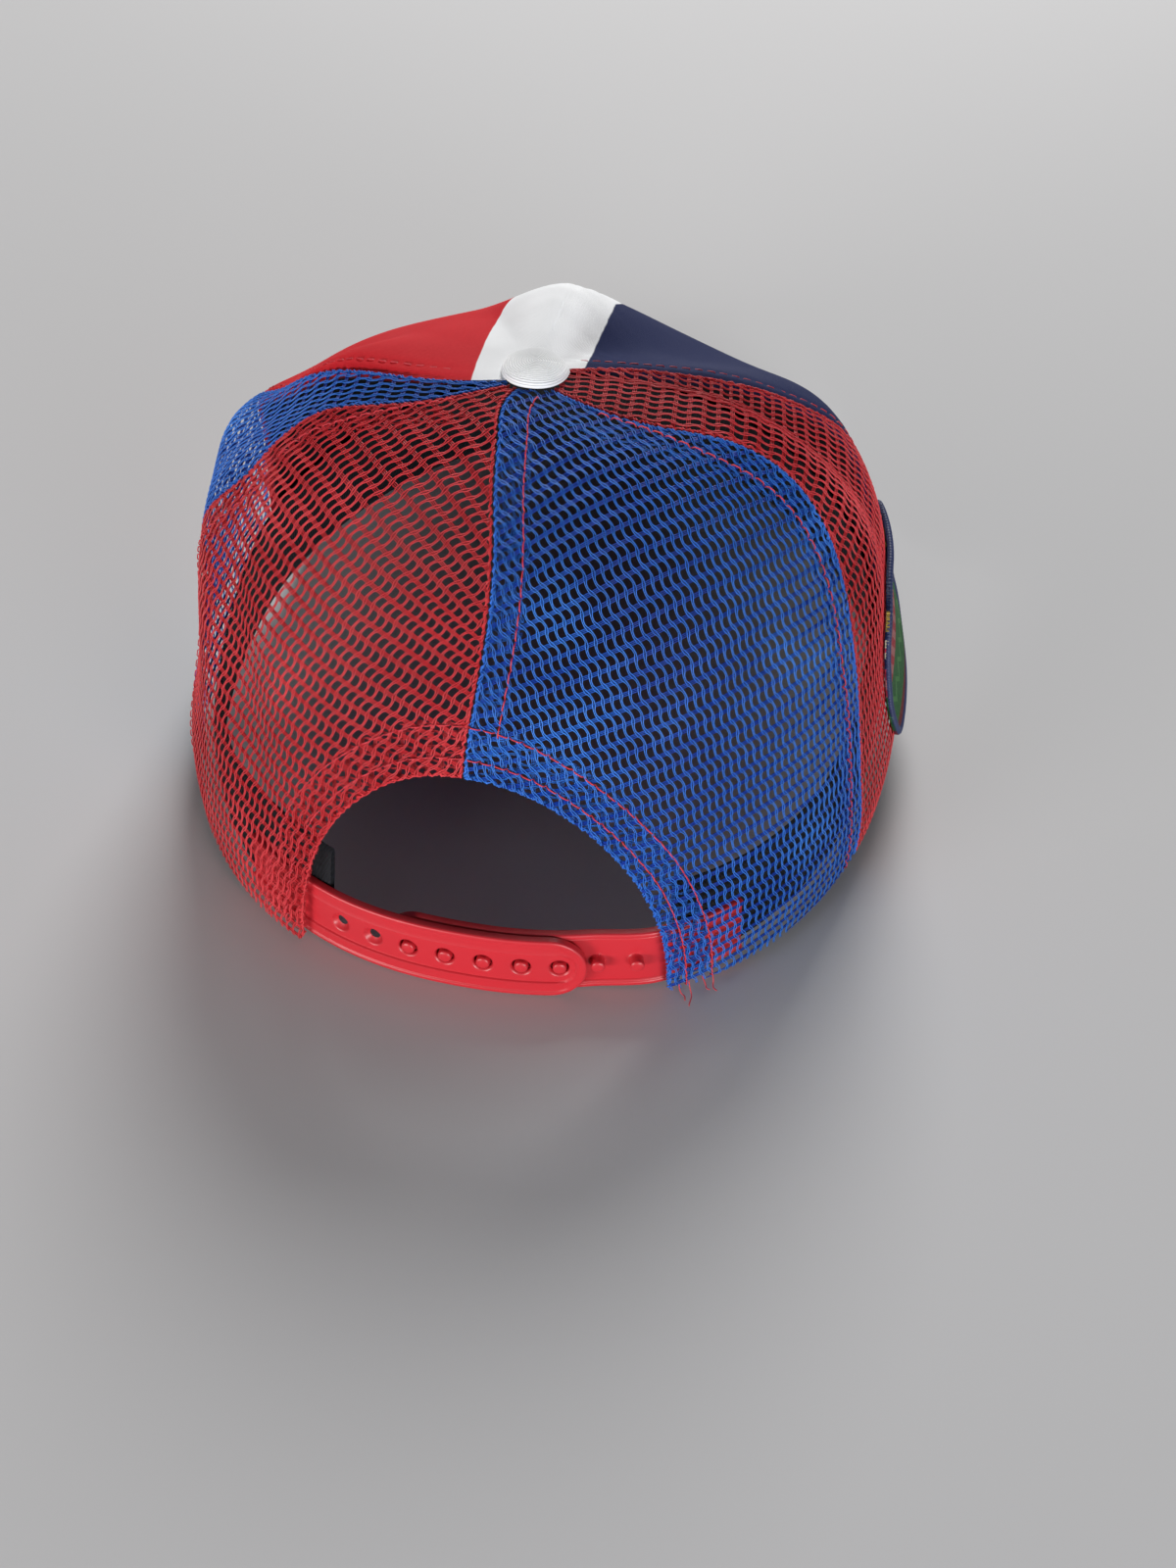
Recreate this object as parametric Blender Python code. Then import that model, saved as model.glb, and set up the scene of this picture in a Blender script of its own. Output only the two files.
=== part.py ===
"""Six-panel cap with foam front panels, net side and rear panels, a curved visor and a plastic snap strap.

Every cloth piece lies on one crown surface. A point of that surface is named by its azimuth, in degrees
from the centre of the back and growing towards the wearer's right, and by its share of the way from the rim
(0) up to the button (1). The visor points to -Y and the back to +Y. The pieces are made around the middle of
a level rim, and the finished cap then leans back until its visor and its rear rim rest on the plane Z = 0.
"""

import math

import bmesh
import bpy
import numpy as np
from mathutils import Matrix, Vector

for old in list(bpy.data.objects):
    bpy.data.objects.remove(old, do_unlink=True)

MM = 0.001

# Crown
RIM_LENGTH = 195 * MM
RIM_WIDTH = 180 * MM
RIM_SQUARENESS = 2.2  # exponent of the rim's oval, 2 is an ellipse
CROWN_HEIGHT = 114 * MM
BUTTON_SETBACK = 8 * MM  # how far the button sits behind the middle of the rim
POLE_START = 0.72  # share from which the stations' last value evens out towards the button
POLE_LEVEL = 1.03  # what it evens out to
POLE_TILT = 0.08  # how much more than that at the back, and less at the front
FRONT_RISE = 12 * MM  # how far the rim arches up over the visor
FRONT_REACH = 65  # degrees of azimuth each side of the front centre where the rim rises
RIDGE_HEIGHT = 3 * MM  # crease that the front centre seam holds up
RIDGE_SPREAD = 17  # degrees over which that crease fades
RIDGE_SOFTNESS = 4  # degrees over which its edge is rounded

# Walls and gaps
NET_WALL = 1.2 * MM
FOAM_WALL = 3.5 * MM
PIECE_GAP = 0.3 * MM
LAYER_GAP = 0.6 * MM  # between the net and the net folded in behind it
EDGE_GAP = 0.7 * MM  # from the rim's lower edge to the straps, the band and the hems
SEAM_FOLD = 7.5 * MM  # width of the doubled net beside a seam
BUTTON_HOLE = 0.97  # share at which the panels stop under the button
COLUMN_WIDTH = 12 * MM  # rough width of a panel's facets

# Rear opening, measured along the rim from the back centre
OPENING_RIGHT = 50 * MM
OPENING_LEFT = 42.5 * MM
OPENING_HEIGHT = 62 * MM
OPENING_ROUNDNESS = 2.4
HEM_WIDTH = 12 * MM
CUTTER_BELOW = 5 * MM  # how far the opening's cutter reaches below the rim
CUTTER_OUTSIDE = 6 * MM  # and in front of the net
CUTTER_INSIDE = 8 * MM  # and behind the net's face

# Snap strap
STRAP_WIDTH = 18.5 * MM
STRAP_WALL = 2 * MM
HOLE_CHANNEL = 9.5 * MM  # height of the channel around the holes
PEG_CHANNEL = 15.6 * MM  # height of the channel around the pegs
STRAP_RECESS = 0.6 * MM  # depth of both channels
STRAP_TUCK = 22 * MM  # length sewn in behind the opening's hem
SNAP_PITCH = 9.5 * MM
SNAP_COUNT = 7
SNAP_START = -33 * MM  # first hole, along the rim from the back centre
SNAPS_FREE = 2  # holes that hold no peg
SNAP_END = 6.8 * MM  # from the last hole to the strap's round end, short of the next peg
PEG_RADIUS = 1.9 * MM
PEG_PROUD = 0.5 * MM
PEG_CLEARANCE = 0.4 * MM

# Band, visor, button and patch
BAND_HEIGHT = 30 * MM
BAND_WALL = 1.5 * MM
BAND_INSET = 4 * MM  # from the opening's right edge to the end of the band
BAND_OVERHANG = 5 * MM  # how far the band's other end shows past the left edge
VISOR_LENGTH = 66 * MM
VISOR_WALL = 3.4 * MM
VISOR_FLARE = 2 * MM  # widening of the visor beside the crown
VISOR_SLOPE = 20  # degrees by which the visor's middle falls away from the crown
VISOR_BEND = 122 * MM  # radius of the arch across the visor
VISOR_ROUNDNESS = 2.1
BUTTON_RADIUS = 7.4 * MM
BUTTON_DOME = 2.2 * MM
BUTTON_EDGE = 0.7 * MM
BUTTON_FORWARD = 2 * MM  # from the point where the seams meet to the button's middle
PATCH_AZIMUTH = 100
PATCH_WIDTH = 50 * MM
PATCH_HEIGHT = 54 * MM
PATCH_RISE = 9.5 * MM  # from the rim to the patch's lower edge
PATCH_WALL = 1.5 * MM
PATCH_ROUNDNESS = 4

# Depths of the two straps' outer faces below the crown's surface
STRAP_DEPTH = 2 * NET_WALL + LAYER_GAP + PIECE_GAP
UNDER_DEPTH = STRAP_DEPTH + STRAP_WALL + PIECE_GAP

# Meridians: a cubic curve from the rim to the button at each azimuth. Lean and shoulder are shares of the
# rim's radius there, wall and top are shares of the crown's height.
STATION_COLUMNS = ("azimuth", "lean", "wall", "shoulder", "top")
STATIONS = np.array([
    (0, -0.05, 0.53, 0.55, 1.07),
    (35, -0.01, 0.56, 0.63, 1.14),
    (70, 0.07, 0.56, 0.75, 1.13),
    (95, 0.10, 0.62, 0.74, 1.11),
    (120, 0.08, 0.74, 0.49, 0.98),
    (150, 0.01, 0.66, 0.39, 0.89),
    (180, -0.08, 0.56, 0.49, 1.06),
])

# Seams: the azimuth of each seam at some shares of the way up. A worn cap's seams wander.
SEAM_COLUMNS = ("share", "azimuth")
SEAMS = {
    "back": np.array([(0, 0), (0.35, 0), (0.75, -1), (0.86, -8), (1, -30)]),
    "rear_right": np.array([(0, 68), (0.35, 71), (0.75, 78), (0.88, 66), (1, 58)]),
    "front_right": np.array([(0, 113), (0.6, 115), (0.76, 122), (0.88, 132), (1, 140)]),
    "front": np.array([(0, 180), (1, 180)]),
    "front_left": np.array([(0, -112), (0.4, -104), (0.72, -90), (0.86, -81), (1, -70)]),
    "rear_left": np.array([(0, -68), (0.38, -74), (0.58, -68), (0.72, -71), (0.88, -58), (1, -54)]),
}

# Dents and folds: tilt is in degrees from level, length, breadth and depth are shares of the crown's height.
DENT_COLUMNS = ("azimuth", "share", "tilt", "length", "breadth", "depth")
DENTS = np.array([
    (-45, 0.34, -58, 0.34, 0.09, -0.030),  # crease in the rear left panel
    (-60, 0.36, -62, 0.26, 0.10, 0.008),  # swelling outside that crease
    (-80, 0.24, 0, 0.40, 0.22, -0.050),  # flat left side
    (-97, 0.42, 0, 0.16, 0.12, 0.030),  # shoulder over that flat
    (-112, 0.57, 0, 0.20, 0.24, -0.055),  # hollow at the front left seam
    (-150, 0.73, 0, 0.30, 0.25, 0.040),  # full top of the front left panel
    (158, 0.62, 0, 0.24, 0.20, -0.020),  # flat top of the front right panel
    (119, 0.47, 0, 0.14, 0.10, 0.012),  # corner of the front right seam
    (101, 0.21, 0, 0.42, 0.23, -0.052),  # flat right side behind the patch
    (104, 0.66, 72, 0.36, 0.08, -0.040),  # sunk top of the right side panel
    (88, 0.50, 78, 0.30, 0.07, 0.014),  # ridge along the rear right seam
    (-84, 0.60, 84, 0.30, 0.09, -0.026),  # sunk top of the left side panel
    (42, 0.24, 35, 0.22, 0.07, -0.014),  # pull from the opening's right corner
    (52, 0.46, 60, 0.30, 0.07, -0.012),  # long soft fold in the rear right panel
    (-24, 0.62, 10, 0.22, 0.12, 0.012),  # fullness at the top of the rear left panel
])


def smooth_rows(rows, query):
    """Cubic blend between the rows of a table whose first column is the place, flat at both ends."""
    places, values = rows[:, 0], rows[:, 1:]
    steps = np.diff(places)[:, None]
    rates = np.diff(values, axis=0) / steps
    slopes = np.zeros_like(values)
    slopes[1:-1] = (rates[:-1] * steps[1:] + rates[1:] * steps[:-1]) / (steps[:-1] + steps[1:])
    i = np.clip(np.searchsorted(places, query, side="right") - 1, 0, len(places) - 2)
    step = steps[i]
    t = (np.asarray(query)[..., None] - places[i][..., None]) / step
    return (
        (2 * t**3 - 3 * t**2 + 1) * values[i] + (t**3 - 2 * t**2 + t) * step * slopes[i]
        + (3 * t**2 - 2 * t**3) * values[i + 1] + (t**3 - t**2) * step * slopes[i + 1]
    )


def smooth_step(x):
    """0 below 0, 1 above 1 and a soft curve between."""
    x = np.clip(x, 0, 1)
    return x * x * (3 - 2 * x)


def rim_radius(azimuth):
    """Radius of the rim's squarish oval."""
    angle = np.radians(azimuth)
    along = np.abs(np.cos(angle)) / (RIM_LENGTH / 2)
    across = np.abs(np.sin(angle)) / (RIM_WIDTH / 2)
    return (along**RIM_SQUARENESS + across**RIM_SQUARENESS) ** (-1 / RIM_SQUARENESS)


def from_front(azimuth):
    """Degrees of azimuth between a point and the front centre."""
    return 180 - np.abs((azimuth + 180) % 360 - 180)


def rim_height(azimuth):
    """Height of the rim, which rises over the visor."""
    return FRONT_RISE * smooth_step(1 - from_front(azimuth) / FRONT_REACH)


def smooth_crown(azimuth, share):
    """Point of the crown before its dents."""
    azimuth, share = np.broadcast_arrays(np.asarray(azimuth, float), np.asarray(share, float))
    row = smooth_rows(STATIONS, 180 - from_front(azimuth))
    lean, wall, shoulder, top = np.moveaxis(row, -1, 0)
    even = POLE_LEVEL + POLE_TILT * np.cos(np.radians(azimuth))
    top = top + (even - top) * smooth_step((share - POLE_START) / (BUTTON_HOLE - POLE_START))
    down = 1 - share
    radius = rim_radius(azimuth) * (
        down**3 + 3 * down**2 * share * (1 + lean) + 3 * down * share**2 * shoulder
    )
    height = down**3 * rim_height(azimuth) + CROWN_HEIGHT * (
        3 * down**2 * share * wall + 3 * down * share**2 * top + share**3
    )
    away = np.hypot(from_front(azimuth), RIDGE_SOFTNESS) - RIDGE_SOFTNESS
    crease = RIDGE_HEIGHT * np.exp(-away / RIDGE_SPREAD)
    crease = crease * np.sin(np.pi * np.clip(share, 0, 1) ** 0.8)
    radius = radius + crease * down
    angle = np.radians(azimuth)
    y = BUTTON_SETBACK * smooth_step(share) + radius * np.cos(angle)
    return np.stack([-radius * np.sin(angle), y, height + crease * share], -1)


def dent_height(azimuth, share):
    """Sum of the dents and folds, each a soft oval mound or hollow, fading out at the rim and the button."""
    total = np.zeros(np.broadcast(azimuth, share).shape)
    turn = np.radians(1) * RIM_WIDTH / 2 * (1 - 0.55 * share)
    for place, level, tilt, length, breadth, depth in DENTS:
        across = ((azimuth - place + 180) % 360 - 180) * turn / CROWN_HEIGHT
        up = (share - level) * 1.45
        c, s = math.cos(math.radians(tilt)), math.sin(math.radians(tilt))
        along, beside = across * c + up * s, up * c - across * s
        total = total + depth * np.exp(-((along / length) ** 2) - (beside / breadth) ** 2)
    return CROWN_HEIGHT * total * smooth_step(share / 0.15) * smooth_step((1 - share) / 0.12)


def outward(surface, azimuth, share):
    """Unit normal of a surface of azimuth and share."""
    share = np.clip(share, -0.2, 0.98)
    turn = surface(azimuth + 0.4, share) - surface(azimuth - 0.4, share)
    climb = surface(azimuth, share + 0.006) - surface(azimuth, share - 0.006)
    normal = np.cross(turn, climb)
    return normal / np.linalg.norm(normal, axis=-1, keepdims=True)


def dented_crown(azimuth, share):
    """Point of the crown with its dents."""
    return smooth_crown(azimuth, share) + outward(smooth_crown, azimuth, share) * (
        dent_height(azimuth, share)[..., None]
    )


def crown(azimuth, share, depth=0.0, aim=None):
    """Point at a depth below the crown's outer surface, square to the surface there or at the azimuth aim."""
    azimuth, share = np.broadcast_arrays(np.asarray(azimuth, float), np.asarray(share, float))
    depth = np.broadcast_to(depth, azimuth.shape)[..., None]
    aim = azimuth if aim is None else aim
    return dented_crown(azimuth, share) - outward(dented_crown, aim, share) * depth


def share_at(azimuth, height):
    """Share of the way up at which the smooth crown reaches a height, by halving an interval."""
    azimuth, height = np.broadcast_arrays(np.asarray(azimuth, float), np.asarray(height, float))
    low, high = np.full(azimuth.shape, -0.2), np.full(azimuth.shape, 0.75)
    for _ in range(30):
        middle = (low + high) / 2
        under = smooth_crown(azimuth, middle)[..., 2] < height
        low, high = np.where(under, middle, low), np.where(under, high, middle)
    return (low + high) / 2


RIM_AZIMUTHS = np.linspace(-180, 180, 1441)
RIM_STEPS = np.linalg.norm(np.diff(smooth_crown(RIM_AZIMUTHS, 0.0)[:, :2], axis=0), axis=1)
RIM_LENGTHS = np.concatenate([[0], np.cumsum(RIM_STEPS)])
RIM_LENGTHS = RIM_LENGTHS - RIM_LENGTHS[720]


def azimuth_at(length):
    """Azimuth at a length along the rim from the back centre."""
    return np.interp(length, RIM_LENGTHS, RIM_AZIMUTHS)


def length_at(azimuth):
    """Length along the rim from the back centre to an azimuth."""
    return np.interp(azimuth, RIM_AZIMUTHS, RIM_LENGTHS)


def level_radius(azimuth, share):
    """Distance from the crown's axis at an azimuth and share."""
    point = smooth_crown(azimuth, share)
    return np.hypot(point[..., 0], point[..., 1] - BUTTON_SETBACK * smooth_step(share))


def material(name, colour, roughness, metallic=0.0):
    """Principled material in one colour."""
    made = bpy.data.materials.new(name)
    made.use_nodes = True
    shader = made.node_tree.nodes["Principled BSDF"]
    shader.inputs["Base Color"].default_value = (*colour, 1)
    shader.inputs["Roughness"].default_value = roughness
    shader.inputs["Metallic"].default_value = metallic
    return made


RED_NET = material("red_net", (0.55, 0.03, 0.05), 0.6)
BLUE_NET = material("blue_net", (0.02, 0.10, 0.40), 0.6)
RED_FOAM = material("red_foam", (0.58, 0.03, 0.04), 0.8)
NAVY_FOAM = material("navy_foam", (0.02, 0.03, 0.10), 0.8)
RED_PLASTIC = material("red_plastic", (0.55, 0.03, 0.04), 0.35)
WHITE_KNIT = material("white_knit", (0.75, 0.75, 0.75), 0.8)
NAVY_CLOTH = material("navy_cloth", (0.02, 0.03, 0.10), 0.8)
BLACK_CLOTH = material("black_cloth", (0.02, 0.02, 0.02), 0.9)
PATCH_THREAD = material("patch_thread", (0.03, 0.04, 0.12), 0.7)


def add_object(name, vertices, faces, stuff, smooth=True):
    """Object from lists of vertices and faces."""
    mesh = bpy.data.meshes.new(name)
    mesh.from_pydata([tuple(v) for v in vertices], [], [tuple(int(k) for k in f) for f in faces])
    mesh.validate()
    mesh.materials.append(stuff)
    if smooth:
        mesh.shade_smooth()
        mesh.set_sharp_from_angle(angle=math.radians(40))
    made = bpy.data.objects.new(name, mesh)
    bpy.context.collection.objects.link(made)
    return made


def sheet_faces(front, back):
    """Closed set of quads between two grids of vertex numbers, the front one facing out."""
    quads = []
    for grid, turned in ((front, False), (back, True)):
        corners = [grid[:-1, :-1], grid[1:, :-1], grid[1:, 1:], grid[:-1, 1:]]
        if turned:
            corners.reverse()
        quads.append(np.stack([c.ravel() for c in corners], 1))
    ring_front = np.concatenate([front[:-1, 0], front[-1, :-1], front[:0:-1, -1], front[0, :0:-1]])
    ring_back = np.concatenate([back[:-1, 0], back[-1, :-1], back[:0:-1, -1], back[0, :0:-1]])
    quads.append(
        np.stack([ring_back, np.roll(ring_back, -1), np.roll(ring_front, -1), ring_front], 1)
    )
    return np.concatenate(quads)


def slab(name, outer, inner, stuff):
    """Closed wall between two grids of points, the first index growing with azimuth, the second upwards."""
    count = outer.shape[0] * outer.shape[1]
    front = np.arange(count).reshape(outer.shape[:2])
    vertices = np.concatenate([outer.reshape(-1, 3), inner.reshape(-1, 3)])
    return add_object(name, vertices, sheet_faces(front, front + count), stuff)


def crown_slab(name, azimuth, share, outer, inner, stuff):
    """Wall on the crown between two depths."""
    return slab(name, crown(azimuth, share, outer), crown(azimuth, share, inner), stuff)


def cut(piece, cutter, operation="DIFFERENCE"):
    """Boolean with a hidden object, which stays in the file as a guide."""
    modifier = piece.modifiers.new(cutter.name, "BOOLEAN")
    modifier.object = cutter
    modifier.operation = operation
    modifier.solver = "EXACT"
    cutter.hide_render = True
    cutter.display_type = "WIRE"


def seam_azimuths(start, end, share):
    """Azimuths of a panel's two seams at each share."""
    left = smooth_rows(SEAMS[start], share)[:, 0]
    right = smooth_rows(SEAMS[end], share)[:, 0]
    return left, np.where(right < left, right + 360, right)


def panel_azimuths(start, end, share, start_fold=False, end_fold=False):
    """Azimuths of a panel's columns at each share: inside its two seams, with a column at each fold's edge."""
    left, right = seam_azimuths(start, end, share)
    radius = level_radius((left + right) / 2, share)
    gap = np.degrees(PIECE_GAP / 2 / radius)
    fold = np.minimum(np.degrees(SEAM_FOLD / radius), 0.3 * (right - left))
    first = left + np.where(start_fold, fold, gap)
    last = right - np.where(end_fold, fold, gap)
    columns = 2 + int(np.radians(right[0] - left[0]) * radius[0] / COLUMN_WIDTH)
    rows = [left + gap] if start_fold else []
    rows += [first + (last - first) * t for t in np.linspace(0, 1, columns)]
    rows += [right - gap] if end_fold else []
    return np.array(rows)


PANEL_ROWS = 17
PANELS = {
    "front_panel_right": ("front_right", "front", FOAM_WALL, NAVY_FOAM, False, False),
    "front_panel_left": ("front", "front_left", FOAM_WALL, RED_FOAM, False, False),
    "side_mesh_right": ("rear_right", "front_right", NET_WALL, RED_NET, False, False),
    "side_mesh_left": ("front_left", "rear_left", NET_WALL, BLUE_NET, False, False),
    "rear_mesh_right": ("back", "rear_right", NET_WALL, BLUE_NET, True, True),
    "rear_mesh_left": ("rear_left", "back", NET_WALL, RED_NET, True, False),
}


def build_panels():
    """Six panels between the seams."""
    made = {}
    for name, (start, end, wall, stuff, start_fold, end_fold) in PANELS.items():
        share = np.linspace(0, BUTTON_HOLE, PANEL_ROWS)
        azimuth = panel_azimuths(start, end, share, start_fold, end_fold)
        # both sides of a seam take their thickness in the seam's own direction
        aim = azimuth.copy()
        aim[0], aim[-1] = seam_azimuths(start, end, share)
        share = np.broadcast_to(share, azimuth.shape)
        # foam is sewn down to the thickness of net under the button
        depth = NET_WALL + (wall - NET_WALL) * smooth_step((BUTTON_HOLE - share) / 0.2)
        made[name] = slab(name, crown(azimuth, share), crown(azimuth, share, depth, aim), stuff)
    return made


def build_seam_folds():
    """Net folded over beside the back seam and the two rear side seams."""
    hem_top = float(share_at(0.0, OPENING_HEIGHT + HEM_WIDTH + PIECE_GAP))
    folds = (
        ("rear_seam_fold", "rear_mesh_right", slice(0, 2), hem_top, BLUE_NET),
        ("right_seam_fold", "rear_mesh_right", slice(-2, None), 0.0, BLUE_NET),
        ("left_seam_fold", "rear_mesh_left", slice(0, 2), 0.0, RED_NET),
    )
    for name, panel, columns, lowest, stuff in folds:
        start, end, wall, _, start_fold, end_fold = PANELS[panel]
        share = np.linspace(0, BUTTON_HOLE, PANEL_ROWS)
        share = np.concatenate([[lowest], share[(share > lowest + 0.01) & (share < 0.94)]])
        azimuth = panel_azimuths(start, end, share, start_fold, end_fold)[columns]
        top = wall + LAYER_GAP
        crown_slab(name, azimuth, share[None], top, top + wall, stuff)


def opening_edge(side, count, offset=0.0):
    """Points along the opening's edge from its top to the rim, as lengths along the rim and heights."""
    half = OPENING_RIGHT if side > 0 else OPENING_LEFT
    start = (PIECE_GAP / 2 / half) ** (OPENING_ROUNDNESS / 2)
    angle = np.linspace(math.asin(start), math.pi / 2, count)
    along = half * np.sin(angle) ** (2 / OPENING_ROUNDNESS)
    up = OPENING_HEIGHT * np.abs(np.cos(angle)) ** (2 / OPENING_ROUNDNESS)
    tilt_along = (along / half) ** (OPENING_ROUNDNESS - 1) / half
    tilt_up = (up / OPENING_HEIGHT) ** (OPENING_ROUNDNESS - 1) / OPENING_HEIGHT
    size = np.hypot(tilt_along, tilt_up)
    return side * (along + offset * tilt_along / size), up + offset * tilt_up / size


def cut_opening(panels):
    """Arched opening cut through the two rear panels with a curved plug."""
    left_along, left_up = opening_edge(-1, 16)
    right_along, right_up = opening_edge(1, 16)
    along = np.concatenate([left_along[::-1], right_along])
    top = np.concatenate([left_up[::-1], right_up])
    azimuth = azimuth_at(along)[:, None]
    height = (top[:, None] + CUTTER_BELOW) * np.linspace(0, 1, 6)[None] - CUTTER_BELOW
    share = share_at(azimuth, height)
    azimuth = azimuth + 0 * share
    plug = crown_slab("opening_cutter", azimuth, share, -CUTTER_OUTSIDE, CUTTER_INSIDE, BLACK_CLOTH)
    for name in ("rear_mesh_left", "rear_mesh_right"):
        cut(panels[name], plug)


def build_hems():
    """Net folded in along the opening's edge, one strip each side of the back seam."""
    for name, side, stuff in (("arch_hem_right", 1, BLUE_NET), ("arch_hem_left", -1, RED_NET)):
        edges = [opening_edge(side, 16, HEM_WIDTH * t) for t in (0, 0.5, 1)]
        along = np.array([e[0] for e in edges])
        up = np.array([e[1] for e in edges])
        if side < 0:
            along, up = along[::-1], up[::-1]
        azimuth = azimuth_at(along)
        share = share_at(azimuth, np.maximum(up, EDGE_GAP))
        top = NET_WALL + LAYER_GAP
        outer, inner = crown(azimuth, share, top), crown(azimuth, share, top + NET_WALL)
        slab(name, outer.transpose(1, 0, 2), inner.transpose(1, 0, 2), stuff)


SNAPS = [SNAP_START + SNAP_PITCH * k for k in range(SNAP_COUNT + SNAPS_FREE)]


def strap_depth(along, under):
    """Depth of a strap's outer face. The under strap comes up to the other one's level beside its end."""
    if not under:
        return np.full(np.shape(along), STRAP_DEPTH)
    start = SNAPS[SNAP_COUNT - 1] + SNAP_END + PIECE_GAP
    rise = smooth_step((along - start) / (OPENING_RIGHT - start))
    return UNDER_DEPTH + (STRAP_DEPTH - UNDER_DEPTH) * rise


def strap_body(name, tip, root, under):
    """Strap along the rim from its round free end to its sewn end, with a channel along its outer face."""
    way = math.copysign(1, root - tip)
    half = STRAP_WIDTH / 2
    turn = np.radians(np.array([8, 20, 32, 44, 58, 72, 90]))
    nose = half * (1 - np.cos(turn))
    straight = np.linspace(half, abs(root - tip), int(abs(root - tip) / (4.5 * MM)))[1:]
    run = np.concatenate([nose, straight])
    tall = half * np.sin(np.concatenate([turn, np.full(len(straight), math.pi / 2)]))
    channel = (PEG_CHANNEL if under else HOLE_CHANNEL) / 2
    border = channel / half
    rows = np.array([-1, -border, -border + 0.04, border - 0.04, border, 1])
    sunk = np.where(np.abs(rows) < border - 0.02, STRAP_RECESS, 0)[None] * (run > half - channel)[:, None]
    along = (tip + way * run)[:, None]
    if way < 0:
        along, tall, sunk = along[::-1], tall[::-1], sunk[::-1]
    azimuth = azimuth_at(along)
    share = share_at(azimuth, EDGE_GAP + half + tall[:, None] * rows[None])
    azimuth = azimuth + 0 * share
    outer = strap_depth(along, under) + sunk
    inner = strap_depth(along, under) + STRAP_WALL + 0 * sunk
    return slab(name, crown(azimuth, share, outer), crown(azimuth, share, inner), RED_PLASTIC)


def snap_row(name, places, radius, tip_radius, low, high, under):
    """Hidden row of short cones square to the strap, from one depth below its face to another."""
    shape = bmesh.new()
    for along in places:
        azimuth = np.array(float(azimuth_at(along)))
        share = share_at(azimuth, EDGE_GAP + STRAP_WIDTH / 2)
        face = float(strap_depth(along, under))
        normal = Vector(outward(dented_crown, azimuth, share))
        centre = Vector(crown(azimuth, share, face + (low + high) / 2))
        place = Matrix.Translation(centre) @ normal.to_track_quat("Z", "Y").to_matrix().to_4x4()
        bmesh.ops.create_cone(
            shape, cap_ends=True, segments=14, radius1=radius, radius2=tip_radius,
            depth=abs(low - high), matrix=place,
        )
    mesh = bpy.data.meshes.new(name)
    shape.to_mesh(mesh)
    shape.free()
    made = bpy.data.objects.new(name, mesh)
    bpy.context.collection.objects.link(made)
    return made


def build_strap():
    """Two plastic straps: the outer one with holes, the under one with pegs that stand through them."""
    holes, pegs = SNAPS[:SNAP_COUNT], SNAPS[SNAPS_FREE:]
    outer = strap_body("strap_with_holes", holes[-1] + SNAP_END, -OPENING_LEFT - STRAP_TUCK, False)
    hole = PEG_RADIUS + PEG_CLEARANCE
    cut(outer, snap_row("hole_cutter", holes, hole, hole, 2 * STRAP_WALL, -STRAP_WALL, False))
    under = strap_body("strap_with_pegs", pegs[0] - SNAP_END, OPENING_RIGHT + STRAP_TUCK, True)
    tall = STRAP_WALL + PIECE_GAP + PEG_PROUD
    row = snap_row("peg_row", pegs, PEG_RADIUS, 0.8 * PEG_RADIUS, STRAP_WALL / 2, -tall, True)
    cut(under, row, "UNION")


def band_depth(azimuth):
    """Depth of the sweatband: behind the strap ends at the back, close to the foam at the front."""
    back = STRAP_DEPTH + STRAP_WALL + PIECE_GAP
    front = FOAM_WALL + LAYER_GAP
    return back + (front - back) * smooth_step((100 - from_front(azimuth)) / 40)


def build_sweatband():
    """Cloth band inside the rim, open across the rear opening."""
    start = float(azimuth_at(OPENING_RIGHT + BAND_INSET))
    end = 360 + float(azimuth_at(BAND_OVERHANG - OPENING_LEFT))
    azimuth = np.linspace(start, end, 45)[:, None]
    height = rim_height(azimuth) + EDGE_GAP + BAND_HEIGHT * np.linspace(0, 1, 4)[None]
    share = share_at(azimuth, height)
    depth = band_depth(azimuth)
    crown_slab("sweatband", azimuth + 0 * share, share, depth, depth + BAND_WALL, BLACK_CLOTH)


def visor_height(x, y):
    """Height of the visor's underside, which falls away from the front rim and arches across."""
    ahead = -RIM_LENGTH / 2 - y
    return FRONT_RISE - math.tan(math.radians(VISOR_SLOPE)) * ahead - x**2 / (2 * VISOR_BEND)


def visor_edge(turn):
    """Lower outer edge of the visor, from the wearer's right end (-1) round the tip (0) to the left end (1)."""
    root = crown(180.0 - FRONT_REACH, 0.0, -PIECE_GAP)
    half = abs(root[0]) + VISOR_FLARE * (0.2 + 0.8 * smooth_step((1 - np.abs(turn)) / 0.3))
    reach = root[1] + RIM_LENGTH / 2 + VISOR_LENGTH
    power = 2 / VISOR_ROUNDNESS
    across, ahead = np.sin(turn * math.pi / 2), np.cos(turn * math.pi / 2)
    x = half * np.sign(across) * np.abs(across) ** power
    y = root[1] - reach * np.abs(ahead) ** power
    # the two ends come down to the rim
    z = visor_height(x, y) - visor_height(root[0], root[1]) * np.abs(turn) ** 6
    return np.stack([x, y, z], -1)


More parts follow.
